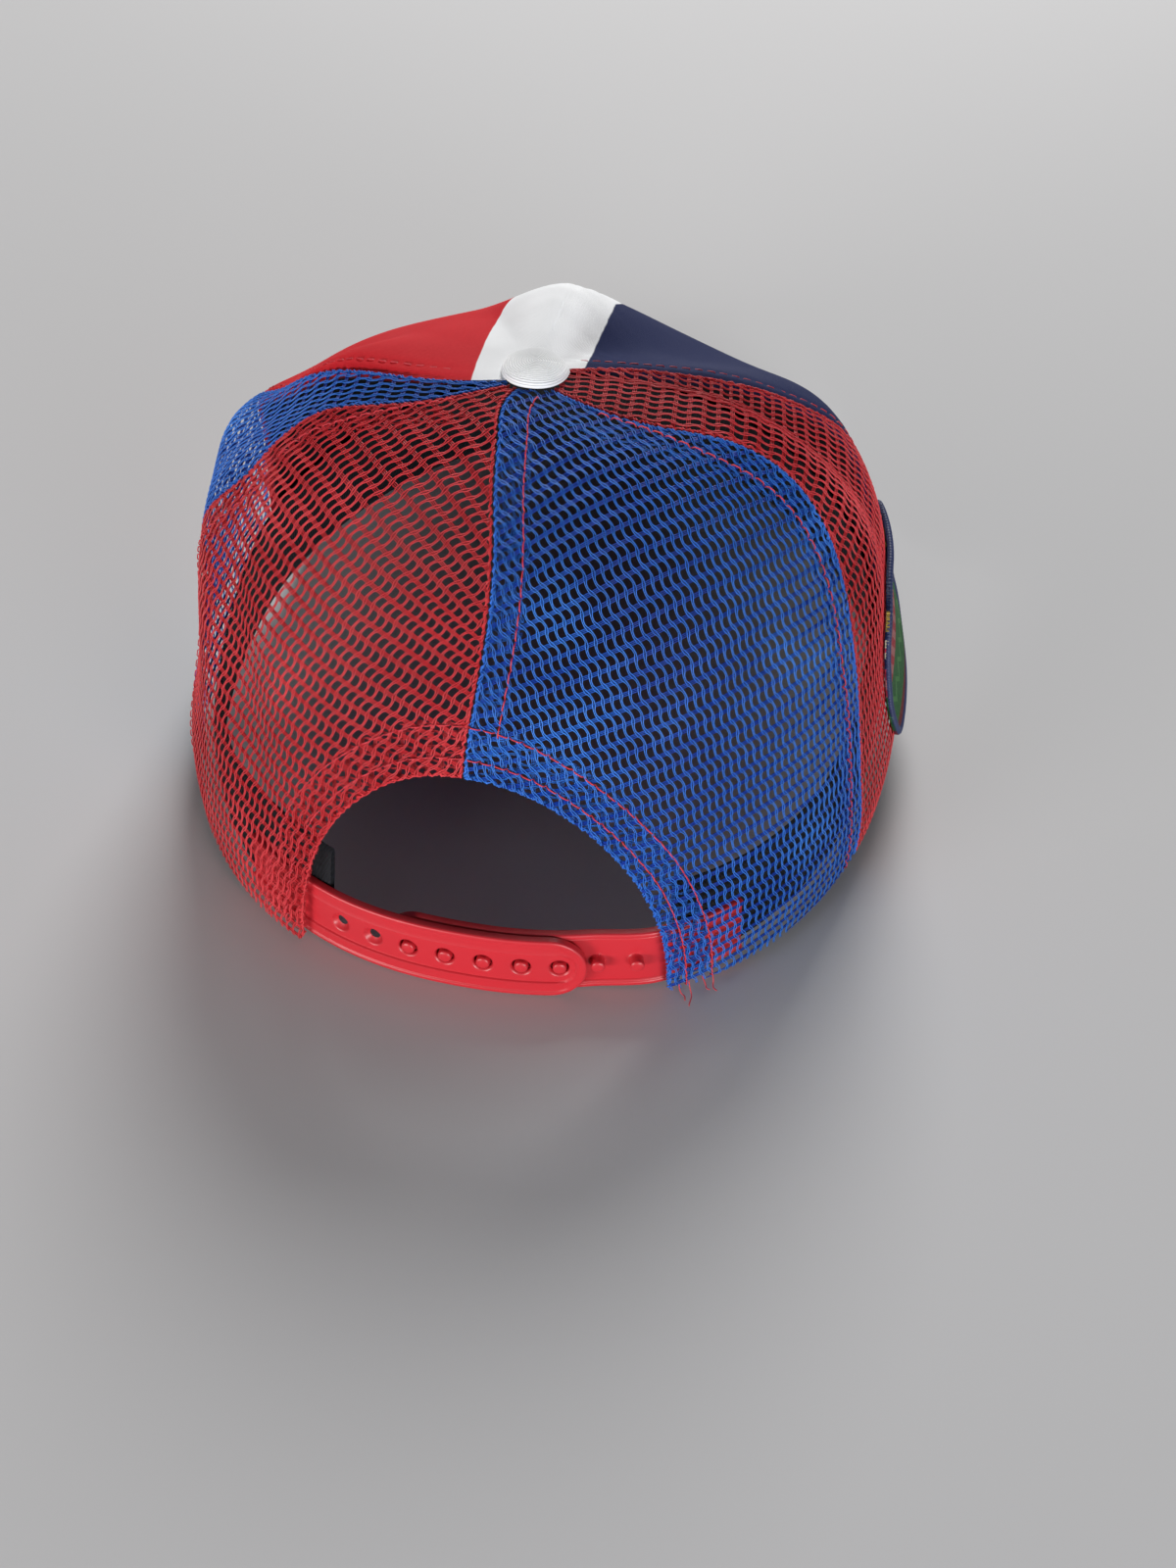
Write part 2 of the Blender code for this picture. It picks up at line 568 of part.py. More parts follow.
def build_visor():
    """Curved visor whose inner edge follows the crown's front rim."""
    turn = np.linspace(-1, 1, 27)
    azimuth = 180 + turn * FRONT_REACH
    base = rim_height(azimuth)
    inner_low = crown(azimuth, share_at(azimuth, base), -PIECE_GAP)
    inner_high = crown(azimuth, share_at(azimuth, base + VISOR_WALL), -PIECE_GAP)
    inner_low[:, 2], inner_high[:, 2] = base, base + VISOR_WALL
    edge_low = visor_edge(turn)
    edge_high = edge_low + np.array([0, 0, VISOR_WALL])
    way = np.linspace(0, 1, 9)[None, :, None]
    low = inner_low[:, None] * (1 - way) + edge_low[:, None] * way
    high = inner_high[:, None] * (1 - way) + edge_high[:, None] * way
    slab("visor", low, high, NAVY_CLOTH)


def button_ring(radius):
    """Points on the crown of a circle around the button's middle."""
    turn = np.linspace(-math.pi, math.pi, 28, endpoint=False)
    x, y = -radius * np.sin(turn), radius * np.cos(turn) - BUTTON_FORWARD
    azimuth, reach = np.degrees(np.arctan2(-x, y)), np.hypot(x, y)
    shares = np.linspace(0.8, 1, 81)
    radii = level_radius(azimuth[:, None], shares[None])
    share = np.array([np.interp(-r, -row, shares) for r, row in zip(reach, radii)])
    return crown(azimuth, share, -PIECE_GAP)


def build_button():
    """Covered button: a low dome whose underside and edge follow the crown."""
    rings = [button_ring(0.5 * BUTTON_RADIUS), button_ring(BUTTON_RADIUS)]
    low_pole = crown(0.0, 1.0, -PIECE_GAP)
    axis = np.cross(np.roll(rings[1], -1, axis=0) - rings[1], low_pole - rings[1]).sum(axis=0)
    axis = axis / np.linalg.norm(axis)
    middle = rings[1].mean(axis=0)
    spokes = rings[1] - middle
    lift = (spokes @ axis)[:, None]
    spokes = spokes - lift * axis
    spokes = spokes / np.linalg.norm(spokes, axis=1, keepdims=True) * BUTTON_RADIUS
    for angle in np.radians((0, 18, 38, 60)):
        height = BUTTON_EDGE + lift * math.cos(angle) + BUTTON_DOME * math.sin(angle)
        rings.append(middle + spokes * math.cos(angle) + axis * height)
    poles = np.array([low_pole, middle + axis * (BUTTON_EDGE + BUTTON_DOME)])
    count = len(lift)
    faces = []
    for k in range(count):
        after = (k + 1) % count
        faces.append((len(rings) * count, after, k))
        faces += [
            (r * count + k, r * count + after, (r + 1) * count + after, (r + 1) * count + k)
            for r in range(len(rings) - 1)
        ]
        last = (len(rings) - 1) * count
        faces.append((last + k, last + after, len(rings) * count + 1))
    add_object("top_button", np.concatenate([*rings, poles]), faces, WHITE_KNIT)


def build_patch():
    """Sewn patch with rounded corners on the right side panel."""
    level = np.sin(np.linspace(-1, 1, 11) * math.pi / 2) * 0.995
    half = PATCH_WIDTH / 2 * (1 - np.abs(level) ** PATCH_ROUNDNESS) ** (1 / PATCH_ROUNDNESS)
    height = PATCH_RISE + PATCH_HEIGHT / 2 * (1 + level)
    along = length_at(PATCH_AZIMUTH) + half[None] * np.linspace(-1, 1, 7)[:, None]
    azimuth = azimuth_at(along)
    share = share_at(azimuth, rim_height(azimuth) + height[None])
    crown_slab("side_patch", azimuth, share, -PIECE_GAP - PATCH_WALL, -PIECE_GAP, PATCH_THREAD)


def settle():
    """Leans the cap back until its visor and its rear rim touch the ground, and centres it over the origin."""
    heel = Vector(smooth_crown(azimuth_at(-OPENING_LEFT), 0.0))
    edge = visor_edge(np.linspace(-1, 1, 81))
    lean = float(np.arctan2(-edge[:, 2], heel.y - edge[:, 1]).max())
    turn = Matrix.Rotation(-lean, 4, "X") @ Matrix.Translation((0, -heel.y, 0))
    tip = turn @ Vector(visor_edge(0.0))
    strap_top = turn @ Vector(crown(0.0, share_at(0.0, EDGE_GAP + STRAP_WIDTH), STRAP_DEPTH))
    centre = Matrix.Translation((0, -(tip.y + strap_top.y) / 2, 0))
    for made in bpy.data.objects:
        made.data.transform(centre @ turn)


def main():
    """Builds the whole cap."""
    panels = build_panels()
    build_seam_folds()
    cut_opening(panels)
    build_hems()
    build_strap()
    build_sweatband()
    build_visor()
    build_button()
    build_patch()
    settle()


main()
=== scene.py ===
import math

import bpy
import numpy as np
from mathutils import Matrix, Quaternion, Vector


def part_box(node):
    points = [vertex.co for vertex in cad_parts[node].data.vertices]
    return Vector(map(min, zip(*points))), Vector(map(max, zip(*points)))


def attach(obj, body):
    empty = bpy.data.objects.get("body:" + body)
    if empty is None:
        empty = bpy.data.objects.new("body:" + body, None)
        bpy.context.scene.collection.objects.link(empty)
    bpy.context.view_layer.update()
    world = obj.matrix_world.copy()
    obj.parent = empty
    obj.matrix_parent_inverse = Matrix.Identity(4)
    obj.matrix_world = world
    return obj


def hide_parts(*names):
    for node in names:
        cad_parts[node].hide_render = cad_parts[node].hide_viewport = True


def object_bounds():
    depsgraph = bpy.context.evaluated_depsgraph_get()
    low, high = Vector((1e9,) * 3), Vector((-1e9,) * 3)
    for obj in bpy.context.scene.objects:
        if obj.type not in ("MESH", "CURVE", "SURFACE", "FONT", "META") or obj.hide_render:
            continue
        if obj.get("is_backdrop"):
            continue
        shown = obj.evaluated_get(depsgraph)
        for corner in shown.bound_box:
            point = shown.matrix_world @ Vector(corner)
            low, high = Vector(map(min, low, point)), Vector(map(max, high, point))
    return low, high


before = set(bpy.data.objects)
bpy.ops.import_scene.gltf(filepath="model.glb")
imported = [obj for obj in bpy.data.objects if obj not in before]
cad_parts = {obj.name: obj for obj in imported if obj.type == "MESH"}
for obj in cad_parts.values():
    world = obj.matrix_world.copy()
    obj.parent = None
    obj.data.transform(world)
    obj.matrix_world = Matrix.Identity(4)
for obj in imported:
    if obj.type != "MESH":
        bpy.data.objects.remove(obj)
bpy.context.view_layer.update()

mm = 0.001
print("frame loaded:", len(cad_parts), "nodes")

# The crown that every cloth piece lies on. Azimuth is in degrees from the centre of the back and grows
# towards the wearer's right, share is the way from the rim (0) up to the button (1). Pieces are worked out
# around the middle of a level rim, and makePiece then leans them back onto the ground.
crownShape = {
    "rimLength": 195 * mm,
    "rimWidth": 180 * mm,
    "squareness": 2.2,
    "height": 114 * mm,
    "buttonSetback": 8 * mm,
    # share from which the stations' last value evens out, its level at the button and its tilt there
    "poleTop": (0.72, 1.03, 0.08),
    "frontRise": 12 * mm,
    "frontReach": 65,
    "ridgeHeight": 3 * mm,
    "ridgeSpread": 17,
    "ridgeSoftness": 4,
    "buttonHole": 0.97,  # share at which the panels stop under the button
    "netWall": 1.2 * mm,
    "foamWall": 3.5 * mm,
    "layerGap": 0.6 * mm,
    "pieceGap": 0.3 * mm,
    "edgeGap": 0.7 * mm,
    # azimuth, then lean and shoulder as shares of the rim's radius, wall and top as shares of the height
    "stations": np.array([
        (0, -0.05, 0.53, 0.55, 1.07),
        (35, -0.01, 0.56, 0.63, 1.14),
        (70, 0.07, 0.56, 0.75, 1.13),
        (95, 0.10, 0.62, 0.74, 1.11),
        (120, 0.08, 0.74, 0.49, 0.98),
        (150, 0.01, 0.66, 0.39, 0.89),
        (180, -0.08, 0.56, 0.49, 1.06),
    ]),
    # share and azimuth of each seam on its way up
    "seams": {
        "back": np.array([(0, 0), (0.35, 0), (0.75, -1), (0.86, -8), (1, -30)]),
        "rearRight": np.array([(0, 68), (0.35, 71), (0.75, 78), (0.88, 66), (1, 58)]),
        "frontRight": np.array([(0, 113), (0.6, 115), (0.76, 122), (0.88, 132), (1, 140)]),
        "front": np.array([(0, 180), (1, 180)]),
        "frontLeft": np.array([(0, -112), (0.4, -104), (0.72, -90), (0.86, -81), (1, -70)]),
        "rearLeft": np.array([(0, -68), (0.38, -74), (0.58, -68), (0.72, -71), (0.88, -58), (1, -54)]),
    },
    "dentNarrowing": 0.55,  # how much shorter a degree of azimuth gets up to the button
    "dentClimb": 1.45,  # length of the way up the wall as a share of the height
    "dentFades": (0.15, 0.12),  # shares over which dents fade out, at the rim and at the button
    # azimuth, share, tilt in degrees, then length, breadth and depth as shares of the height
    "dents": np.array([
        (-45, 0.34, -58, 0.34, 0.09, -0.030),
        (-60, 0.36, -62, 0.26, 0.10, 0.008),
        (-80, 0.24, 0, 0.40, 0.22, -0.050),
        (-97, 0.42, 0, 0.16, 0.12, 0.030),
        (-112, 0.57, 0, 0.20, 0.24, -0.055),
        (-150, 0.73, 0, 0.30, 0.25, 0.040),
        (158, 0.62, 0, 0.24, 0.20, -0.020),
        (119, 0.47, 0, 0.14, 0.10, 0.012),
        (101, 0.21, 0, 0.42, 0.23, -0.052),
        (104, 0.66, 72, 0.36, 0.08, -0.040),
        (88, 0.50, 78, 0.30, 0.07, 0.014),
        (-84, 0.60, 84, 0.30, 0.09, -0.026),
        (42, 0.24, 35, 0.22, 0.07, -0.014),
        (52, 0.46, 60, 0.30, 0.07, -0.012),
        (-24, 0.62, 10, 0.22, 0.12, 0.012),
    ]),
}
opening = {
    "right": 50 * mm,
    "left": 42.5 * mm,
    "height": 62 * mm,
    "roundness": 2.4,
    "hem": 12 * mm,
}
visor = {
    "length": 66 * mm,
    "wall": 3.4 * mm,
    "flare": 2 * mm,
    "slope": 20,
    "bend": 122 * mm,
    "roundness": 2.1,
}


# Cubic blend between the rows of a table whose first column is the place, flat at both ends.
def smoothRows(rows, query):
    places, values = rows[:, 0], rows[:, 1:]
    steps = np.diff(places)[:, None]
    rates = np.diff(values, axis=0) / steps
    slopes = np.zeros_like(values)
    slopes[1:-1] = (rates[:-1] * steps[1:] + rates[1:] * steps[:-1]) / (steps[:-1] + steps[1:])
    i = np.clip(np.searchsorted(places, query, side="right") - 1, 0, len(places) - 2)
    step = steps[i]
    t = (np.asarray(query)[..., None] - places[i][..., None]) / step
    return (
        (2 * t**3 - 3 * t**2 + 1) * values[i] + (t**3 - 2 * t**2 + t) * step * slopes[i]
        + (3 * t**2 - 2 * t**3) * values[i + 1] + (t**3 - t**2) * step * slopes[i + 1]
    )


# 0 below 0, 1 above 1 and a soft curve between.
def smoothStep(x):
    x = np.clip(x, 0, 1)
    return x * x * (3 - 2 * x)


# How far a quarter round lies below the flat, at a distance from its edge and as a share of its radius.
def quarterRound(distance, radius):
    return 1 - np.sqrt(np.maximum(1 - (1 - np.clip(distance / radius, 0, 1)) ** 2, 0))


# The size of a value raised to a power, with the value's own sign.
def signedPower(value, power):
    return np.sign(value) * np.abs(value) ** power


# 1 at a place, falling to 0 within a few widths.
def hump(x, width):
    return np.exp(-((x / width) ** 2))


# Vectors brought to length 1.
def unit(vectors):
    return vectors / np.maximum(np.linalg.norm(vectors, axis=-1, keepdims=True), 1e-12)


# Radius of a squarish oval, from its two half sizes and one exponent.
def rimRadius(azimuth):
    angle, power = np.radians(azimuth), crownShape["squareness"]
    along = np.abs(np.cos(angle)) / (crownShape["rimLength"] / 2)
    across = np.abs(np.sin(angle)) / (crownShape["rimWidth"] / 2)
    return (along**power + across**power) ** (-1 / power)


# The same azimuth within half a turn of the centre of the back.
def wrapped(azimuth):
    return (azimuth + 180) % 360 - 180


# Degrees between an azimuth and the centre of the front.
def fromFront(azimuth):
    return 180 - np.abs(wrapped(azimuth))


# The rim arches up over the visor.
def rimHeight(azimuth):
    return crownShape["frontRise"] * smoothStep(1 - fromFront(azimuth) / crownShape["frontReach"])


# Radius and height are cubic Bezier curves of the share, and a crease fades away from the front centre.
def smoothCrown(azimuth, share):
    azimuth, share = np.broadcast_arrays(np.asarray(azimuth, float), np.asarray(share, float))
    station = smoothRows(crownShape["stations"], 180 - fromFront(azimuth))
    lean, wall, shoulder, top = np.moveaxis(station, -1, 0)
    begin, level, tilt = crownShape["poleTop"]
    even = level + tilt * np.cos(np.radians(azimuth))
    top = top + (even - top) * smoothStep((share - begin) / (crownShape["buttonHole"] - begin))
    down = 1 - share
    radius = rimRadius(azimuth) * (
        down**3 + 3 * down**2 * share * (1 + lean) + 3 * down * share**2 * shoulder
    )
    height = down**3 * rimHeight(azimuth) + crownShape["height"] * (
        3 * down**2 * share * wall + 3 * down * share**2 * top + share**3
    )
    soft = crownShape["ridgeSoftness"]
    away = np.hypot(fromFront(azimuth), soft) - soft
    crease = crownShape["ridgeHeight"] * np.exp(-away / crownShape["ridgeSpread"])
    crease = crease * np.sin(np.pi * np.clip(share, 0, 1) ** 0.8)
    radius = radius + crease * down
    angle = np.radians(azimuth)
    y = crownShape["buttonSetback"] * smoothStep(share) + radius * np.cos(angle)
    return np.stack([-radius * np.sin(angle), y, height + crease * share], -1)


# Sum of soft oval mounds and hollows, fading out at the rim and the button.
def dentHeight(azimuth, share):
    total = np.zeros(np.broadcast(azimuth, share).shape)
    turn = np.radians(1) * crownShape["rimWidth"] / 2 * (1 - crownShape["dentNarrowing"] * share)
    for place, level, tilt, length, breadth, depth in crownShape["dents"]:
        across = wrapped(azimuth - place) * turn / crownShape["height"]
        up = (share - level) * crownShape["dentClimb"]
        c, s = math.cos(math.radians(tilt)), math.sin(math.radians(tilt))
        along, beside = across * c + up * s, up * c - across * s
        total = total + depth * np.exp(-((along / length) ** 2) - (beside / breadth) ** 2)
    low, high = crownShape["dentFades"]
    return crownShape["height"] * total * smoothStep(share / low) * smoothStep((1 - share) / high)


# Normal of a surface from the differences between points a little to each side.
def outward(surface, azimuth, share):
    share = np.clip(share, -0.2, 0.98)
    turn = surface(azimuth + 0.4, share) - surface(azimuth - 0.4, share)
    climb = surface(azimuth, share + 0.006) - surface(azimuth, share - 0.006)
    return unit(np.cross(turn, climb))


# The smooth crown, moved along its normals by the height of the dents.
def dentedCrown(azimuth, share):
    return smoothCrown(azimuth, share) + outward(smoothCrown, azimuth, share) * (
        dentHeight(azimuth, share)[..., None]
    )


# Point at a depth under the crown's outer surface, and the surface's normal there.
def crown(azimuth, share, depth=0.0):
    azimuth, share = np.broadcast_arrays(np.asarray(azimuth, float), np.asarray(share, float))
    depth = np.broadcast_to(depth, azimuth.shape)[..., None]
    normal = outward(dentedCrown, azimuth, share)
    return dentedCrown(azimuth, share) - normal * depth, normal


# Share at which the smooth crown reaches a height, by halving an interval.
def shareAt(azimuth, height):
    azimuth, height = np.broadcast_arrays(np.asarray(azimuth, float), np.asarray(height, float))
    low, high = np.full(azimuth.shape, -0.2), np.full(azimuth.shape, 0.75)
    for _ in range(20):
        middle = (low + high) / 2
        under = smoothCrown(azimuth, middle)[..., 2] < height
        low, high = np.where(under, middle, low), np.where(under, high, middle)
    return (low + high) / 2


rimAzimuths = np.linspace(-180, 180, 1441)
rimSteps = np.linalg.norm(np.diff(smoothCrown(rimAzimuths, 0.0)[:, :2], axis=0), axis=1)
rimLengths = np.concatenate([[0], np.cumsum(rimSteps)])
rimLengths = rimLengths - rimLengths[720]


# Azimuth of a place on the rim, from its length along the rim from the back centre.
def azimuthAt(length):
    return np.interp(length, rimLengths, rimAzimuths)


# Length along the rim from the back centre to an azimuth.
def lengthAt(azimuth):
    return np.interp(azimuth, rimAzimuths, rimLengths)


# Distance from the crown's upright axis.
def levelRadius(azimuth, share):
    point = smoothCrown(azimuth, share)
    return np.hypot(point[..., 0], point[..., 1] - crownShape["buttonSetback"] * smoothStep(share))


# Azimuths of the two seams beside a panel, the second always the larger.
def seamPair(start, end, share):
    left = smoothRows(crownShape["seams"][start], share)[..., 0]
    right = smoothRows(crownShape["seams"][end], share)[..., 0]
    return left, np.where(right < left, right + 360, right)


# Azimuth of a line beside a seam, at an offset along the level.
def seamAzimuth(name, share, offset=0.0):
    azimuth = smoothRows(crownShape["seams"][name], share)[..., 0]
    return azimuth + np.degrees(offset / levelRadius(azimuth, share))


# Height of the visor's underside: it falls away from the front rim and arches across.
def visorHeight(x, y):
    ahead = -crownShape["rimLength"] / 2 - y
    fall = math.tan(math.radians(visor["slope"])) * ahead
    return crownShape["frontRise"] - fall - x**2 / (2 * visor["bend"])


# Lower outer edge of the visor: a squarish half oval from right end (-1) by the tip (0) to left end (1).
def visorEdge(turn):
    root, _ = crown(180.0 - crownShape["frontReach"], 0.0, -crownShape["pieceGap"])
    half = abs(root[0]) + visor["flare"] * (0.2 + 0.8 * smoothStep((1 - np.abs(turn)) / 0.3))
    reach = root[1] + crownShape["rimLength"] / 2 + visor["length"]
    power = 2 / visor["roundness"]
    across, ahead = np.sin(turn * math.pi / 2), np.cos(turn * math.pi / 2)
    x = half * signedPower(across, power)
    y = root[1] - reach * np.abs(ahead) ** power
    z = visorHeight(x, y) - visorHeight(root[0], root[1]) * np.abs(turn) ** 6
    return np.stack([x, y, z], -1)


# The cap leans back until its visor and its rear rim touch the ground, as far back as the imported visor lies.
heel = smoothCrown(azimuthAt(-opening["left"]), 0.0)
visorRow = visorEdge(np.linspace(-1, 1, 81))
lean = float(np.arctan2(-visorRow[:, 2], heel[1] - visorRow[:, 1]).max())
leanCos, leanSin = math.cos(lean), math.sin(lean)
visorTip = visorEdge(0.0)
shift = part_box("visor")[0].y - ((visorTip[1] - heel[1]) * leanCos + visorTip[2] * leanSin)


# Points of the level cap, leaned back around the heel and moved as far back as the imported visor.
def settled(points):
    y, z = points[..., 1] - heel[1], points[..., 2]
    return np.stack([points[..., 0], y * leanCos + z * leanSin + shift, z * leanCos - y * leanSin], -1)


# Length along each row of points, starting at 0.
def lengthsOf(points, axis=0):
    steps = np.linalg.norm(np.diff(points, axis=axis), axis=-1)
    start = np.zeros_like(np.take(steps, [0], axis=axis))
    return np.concatenate([start, np.cumsum(steps, axis=axis)], axis=axis)


# Meshes

# Quads of a grid of point numbers. They face out if the first index grows with azimuth and the second up.
def gridQuads(grid):
    corners = [grid[:-1, :-1], grid[1:, :-1], grid[1:, 1:], grid[:-1, 1:]]
    return np.stack([c.ravel() for c in corners], 1)


# Flat quads over rings of points, one ring a row. They close a ring of an even number of points.
def ringCap(rings):
    return np.concatenate([rings[:, [0, i, i + 1, i + 2]] for i in range(1, rings.shape[1] - 2, 2)])


# Closed wall: the quads of the front, the same quads turned round for the back, and a band along open edges.
def closedWall(front, back, quads):
    count = len(front)
    starts, ends = quads.ravel(), np.roll(quads, -1, axis=1).ravel()
    alone = ~np.isin(starts * count + ends, ends * count + starts)
    a, b = starts[alone], ends[alone]
    band = np.stack([b, a, a + count, b + count], 1)
    return np.concatenate([front, back]), np.concatenate([quads, quads[:, ::-1] + count, band])


# Closed wall between two grids of points.
def gridWall(outer, inner):
    grid = np.arange(outer.shape[0] * outer.shape[1]).reshape(outer.shape[:2])
    return closedWall(outer.reshape(-1, 3), inner.reshape(-1, 3), gridQuads(grid))


# Tubes swept along rows of points. Each ring lies square to its row, with its own half width and half
# depth, and the stretches that are kept get a flat cap at both ends.
def sweep(centres, normals, wide, deep, sides=4, keep=None):
    rows, count = centres.shape[:2]
    keep = np.ones((rows, count - 1), bool) if keep is None else keep
    along = unit(np.gradient(centres, axis=1))
    across = unit(np.cross(normals, along))
    up = np.cross(along, across)
    turn = 2 * np.pi * (np.arange(sides) + 0.5) / sides
    wide = np.broadcast_to(wide, (rows, count))[..., None, None]
    deep = np.broadcast_to(deep, (rows, count))[..., None, None]
    rings = (
        centres[:, :, None] + wide * np.cos(turn)[:, None] * across[:, :, None]
        + deep * np.sin(turn)[:, None] * up[:, :, None]
    )
    index = np.arange(rows * count * sides).reshape(rows, count, sides)
    near, far = index[:, :-1][keep], index[:, 1:][keep]
    quads = np.stack([near, np.roll(near, -1, 1), np.roll(far, -1, 1), far], -1).reshape(-1, 4)
    padded = np.pad(keep, ((0, 0), (1, 1)))
    starts = index[padded[:, 1:] & ~padded[:, :-1]][:, ::-1]
    ends = index[padded[:, :-1] & ~padded[:, 1:]]
    return rings.reshape(-1, 3), np.concatenate([quads, ringCap(starts), ringCap(ends)])


# One mesh from several, each given as points, quads and one value, which is kept for each of its points.
def joined(parts):
    points, quads, values, start = [], [], [], 0
    for corners, faces, value in parts:
        used, packed = np.unique(faces, return_inverse=True)
        points.append(corners[used])
        quads.append(packed.reshape(faces.shape) + start)
        values.append(np.full(len(used), value))
        start += len(used)
    return np.concatenate(points), np.concatenate(quads), np.concatenate(values)


def makePiece(name, points, quads, material, values=None, uv=None, replaced=(), slot=None, sharp=None):
    mesh = bpy.data.meshes.new(name)
    mesh.vertices.add(len(points))
    mesh.vertices.foreach_set("co", np.ascontiguousarray(settled(points), np.float32).ravel())
    mesh.loops.add(quads.size)
    mesh.loops.foreach_set("vertex_index", np.ascontiguousarray(quads, np.int32).ravel())
    mesh.polygons.add(len(quads))
    mesh.polygons.foreach_set("loop_start", np.arange(0, quads.size, 4, dtype=np.int32))
    mesh.update(calc_edges=True)
    if uv is not None:
        layer = mesh.uv_layers.new(name="cloth")
        layer.data.foreach_set("uv", uv[quads.ravel()].astype(np.float32).ravel())
    for key, value in (values or {}).items():
        kept = mesh.attributes.new(key, "FLOAT", "POINT")
        kept.data.foreach_set("value", np.ascontiguousarray(value, np.float32))
    mesh.validate()
    mesh.materials.append(material)
    mesh.shade_smooth()
    if sharp:
        mesh.set_sharp_from_angle(angle=math.radians(sharp))
    piece = bpy.data.objects.new(name, mesh)
    bpy.context.scene.collection.objects.link(piece)
    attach(piece, "root")
    if replaced:
        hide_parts(*replaced)
    print(name, 2 * len(quads), "triangles")
    return piece


# One piece from both faces of a wall, with the two lengths of its cloth.
def makeWall(name, outer, inner, lengths, material, **rest):
    cloth = np.stack(np.broadcast_arrays(*lengths), -1).reshape(-1, 2)
    return makePiece(name, *gridWall(outer, inner), material, uv=np.tile(cloth, (2, 1)), sharp=60, **rest)


# Shaders

# Wraps one socket, so that sums and products of values are written as plain expressions.
class Tap:
    def __init__(self, graph, socket):
        self.graph, self.socket = graph, socket

    def maths(self, operation, first, second=None):
        inputs = {0: first} if second is None else {0: first, 1: second}
        return self.graph.node("ShaderNodeMath", {"operation": operation}, inputs)

    def __add__(self, other):
        return self.maths("ADD", self, other)

    def __radd__(self, other):
        return self.maths("ADD", other, self)

    def __sub__(self, other):
        return self.maths("SUBTRACT", self, other)

    def __rsub__(self, other):
        return self.maths("SUBTRACT", other, self)

    def __mul__(self, other):
        return self.maths("MULTIPLY", self, other)

    def __rmul__(self, other):
        return self.maths("MULTIPLY", other, self)

    def __truediv__(self, other):
        return self.maths("DIVIDE", self, other)

    def __gt__(self, other):
        return self.maths("GREATER_THAN", self, other)

    def __lt__(self, other):
        return self.maths("LESS_THAN", self, other)

    def sine(self):
        return self.maths("SINE", self)

    def size(self):
        return self.maths("ABSOLUTE", self)

    def fraction(self):
        return self.maths("FRACT", self)

    # 0 up to a start, 1 from an end, soft between
    def soft(self, start, end):
        inputs = {0: self, 1: start, 2: end}
        return self.graph.node("ShaderNodeMapRange", {"interpolation_type": "SMOOTHSTEP"}, inputs)


# One material and its shader, with methods that add nodes.
class Finish:
    def __init__(self, name, **sockets):
        self.material = bpy.data.materials.new(name)
        self.material.use_nodes = True
        self.nodes, self.links = self.material.node_tree.nodes, self.material.node_tree.links
        self.shader = self.nodes["Principled BSDF"]
        for key, value in sockets.items():
            self.shader.inputs[key.replace("_", " ")].default_value = value

    # One node of any kind: its settings first, then the values or links of its sockets.
    def node(self, kind, settings=None, inputs=None, out=0):
        made = self.nodes.new(kind)
        for key, value in (settings or {}).items():
            setattr(made, key, value)
        for key, value in (inputs or {}).items():
            if isinstance(value, Tap):
                self.links.new(value.socket, made.inputs[key])
            else:
                made.inputs[key].default_value = value
        return Tap(self, made.outputs[out])

    # Place in metres.
    def place(self):
        return self.node("ShaderNodeTexCoord", out="Object")

    # The three parts of a vector.
    def axes(self, vector):
        made = self.node("ShaderNodeSeparateXYZ", inputs={0: vector})
        return [Tap(self, made.socket.node.outputs[i]) for i in range(3)]

    # A value that the mesh keeps for each point.
    def attribute(self, name):
        return self.node("ShaderNodeAttribute", {"attribute_name": name}, out="Fac")

    # The two lengths along the cloth.
    def cloth(self):
        return self.node("ShaderNodeUVMap", {"uv_map": "cloth"})

    # Soft noise over the place in metres, or over a given vector.
    def noise(self, scale, detail, vector=None):
        inputs = {"Vector": vector or self.place(), "Scale": scale, "Detail": detail}
        return self.node("ShaderNodeTexNoise", None, inputs)

    # Blend of two colours, the second at a factor of 1.
    def mix(self, factor, first, second):
        first, second = ((*c, 1) if isinstance(c, tuple) else c for c in (first, second))
        settings = {"data_type": "RGBA", "clamp_factor": True}
        return self.node("ShaderNodeMix", settings, {0: factor, 6: first, 7: second}, out=2)

    # Values linked to sockets of the shader.
    def wear(self, **sockets):
        for key, value in sockets.items():
            self.links.new(value.socket, self.shader.inputs[key.replace("_", " ")])

    # Relief linked to the shader. Returns the finished material.
    def bump(self, height, distance, strength=1.0):
        inputs = {"Height": height, "Distance": distance, "Strength": strength}
        made = self.node("ShaderNodeBump", None, inputs)
        self.links.new(made.socket, self.shader.inputs["Normal"])
        return self.material


colours = {
    # bright is the share of the bright colour in the laid-in threads and in the wales
    "redYarn": {"deep": (0.42, 0.004, 0.010), "light": (0.86, 0.085, 0.10), "bright": (0.12, 0.45)},
    "blueYarn": {"deep": (0.002, 0.035, 0.33), "light": (0.055, 0.27, 0.86), "bright": (0.0, 0.6)},
    "redFoam": (0.56, 0.012, 0.020),
    "navyFoam": (0.011, 0.018, 0.075),
    "whiteFoam": (0.89, 0.90, 0.92),
    "lining": (0.010, 0.010, 0.012),
    "plastic": (0.52, 0.017, 0.027),
    "navyCloth": (0.011, 0.018, 0.070),
    "band": (0.006, 0.007, 0.011),
}


# A colour times a share, darker below 1 and lighter above.
def toned(colour, share):
    return tuple(share * c for c in colour)


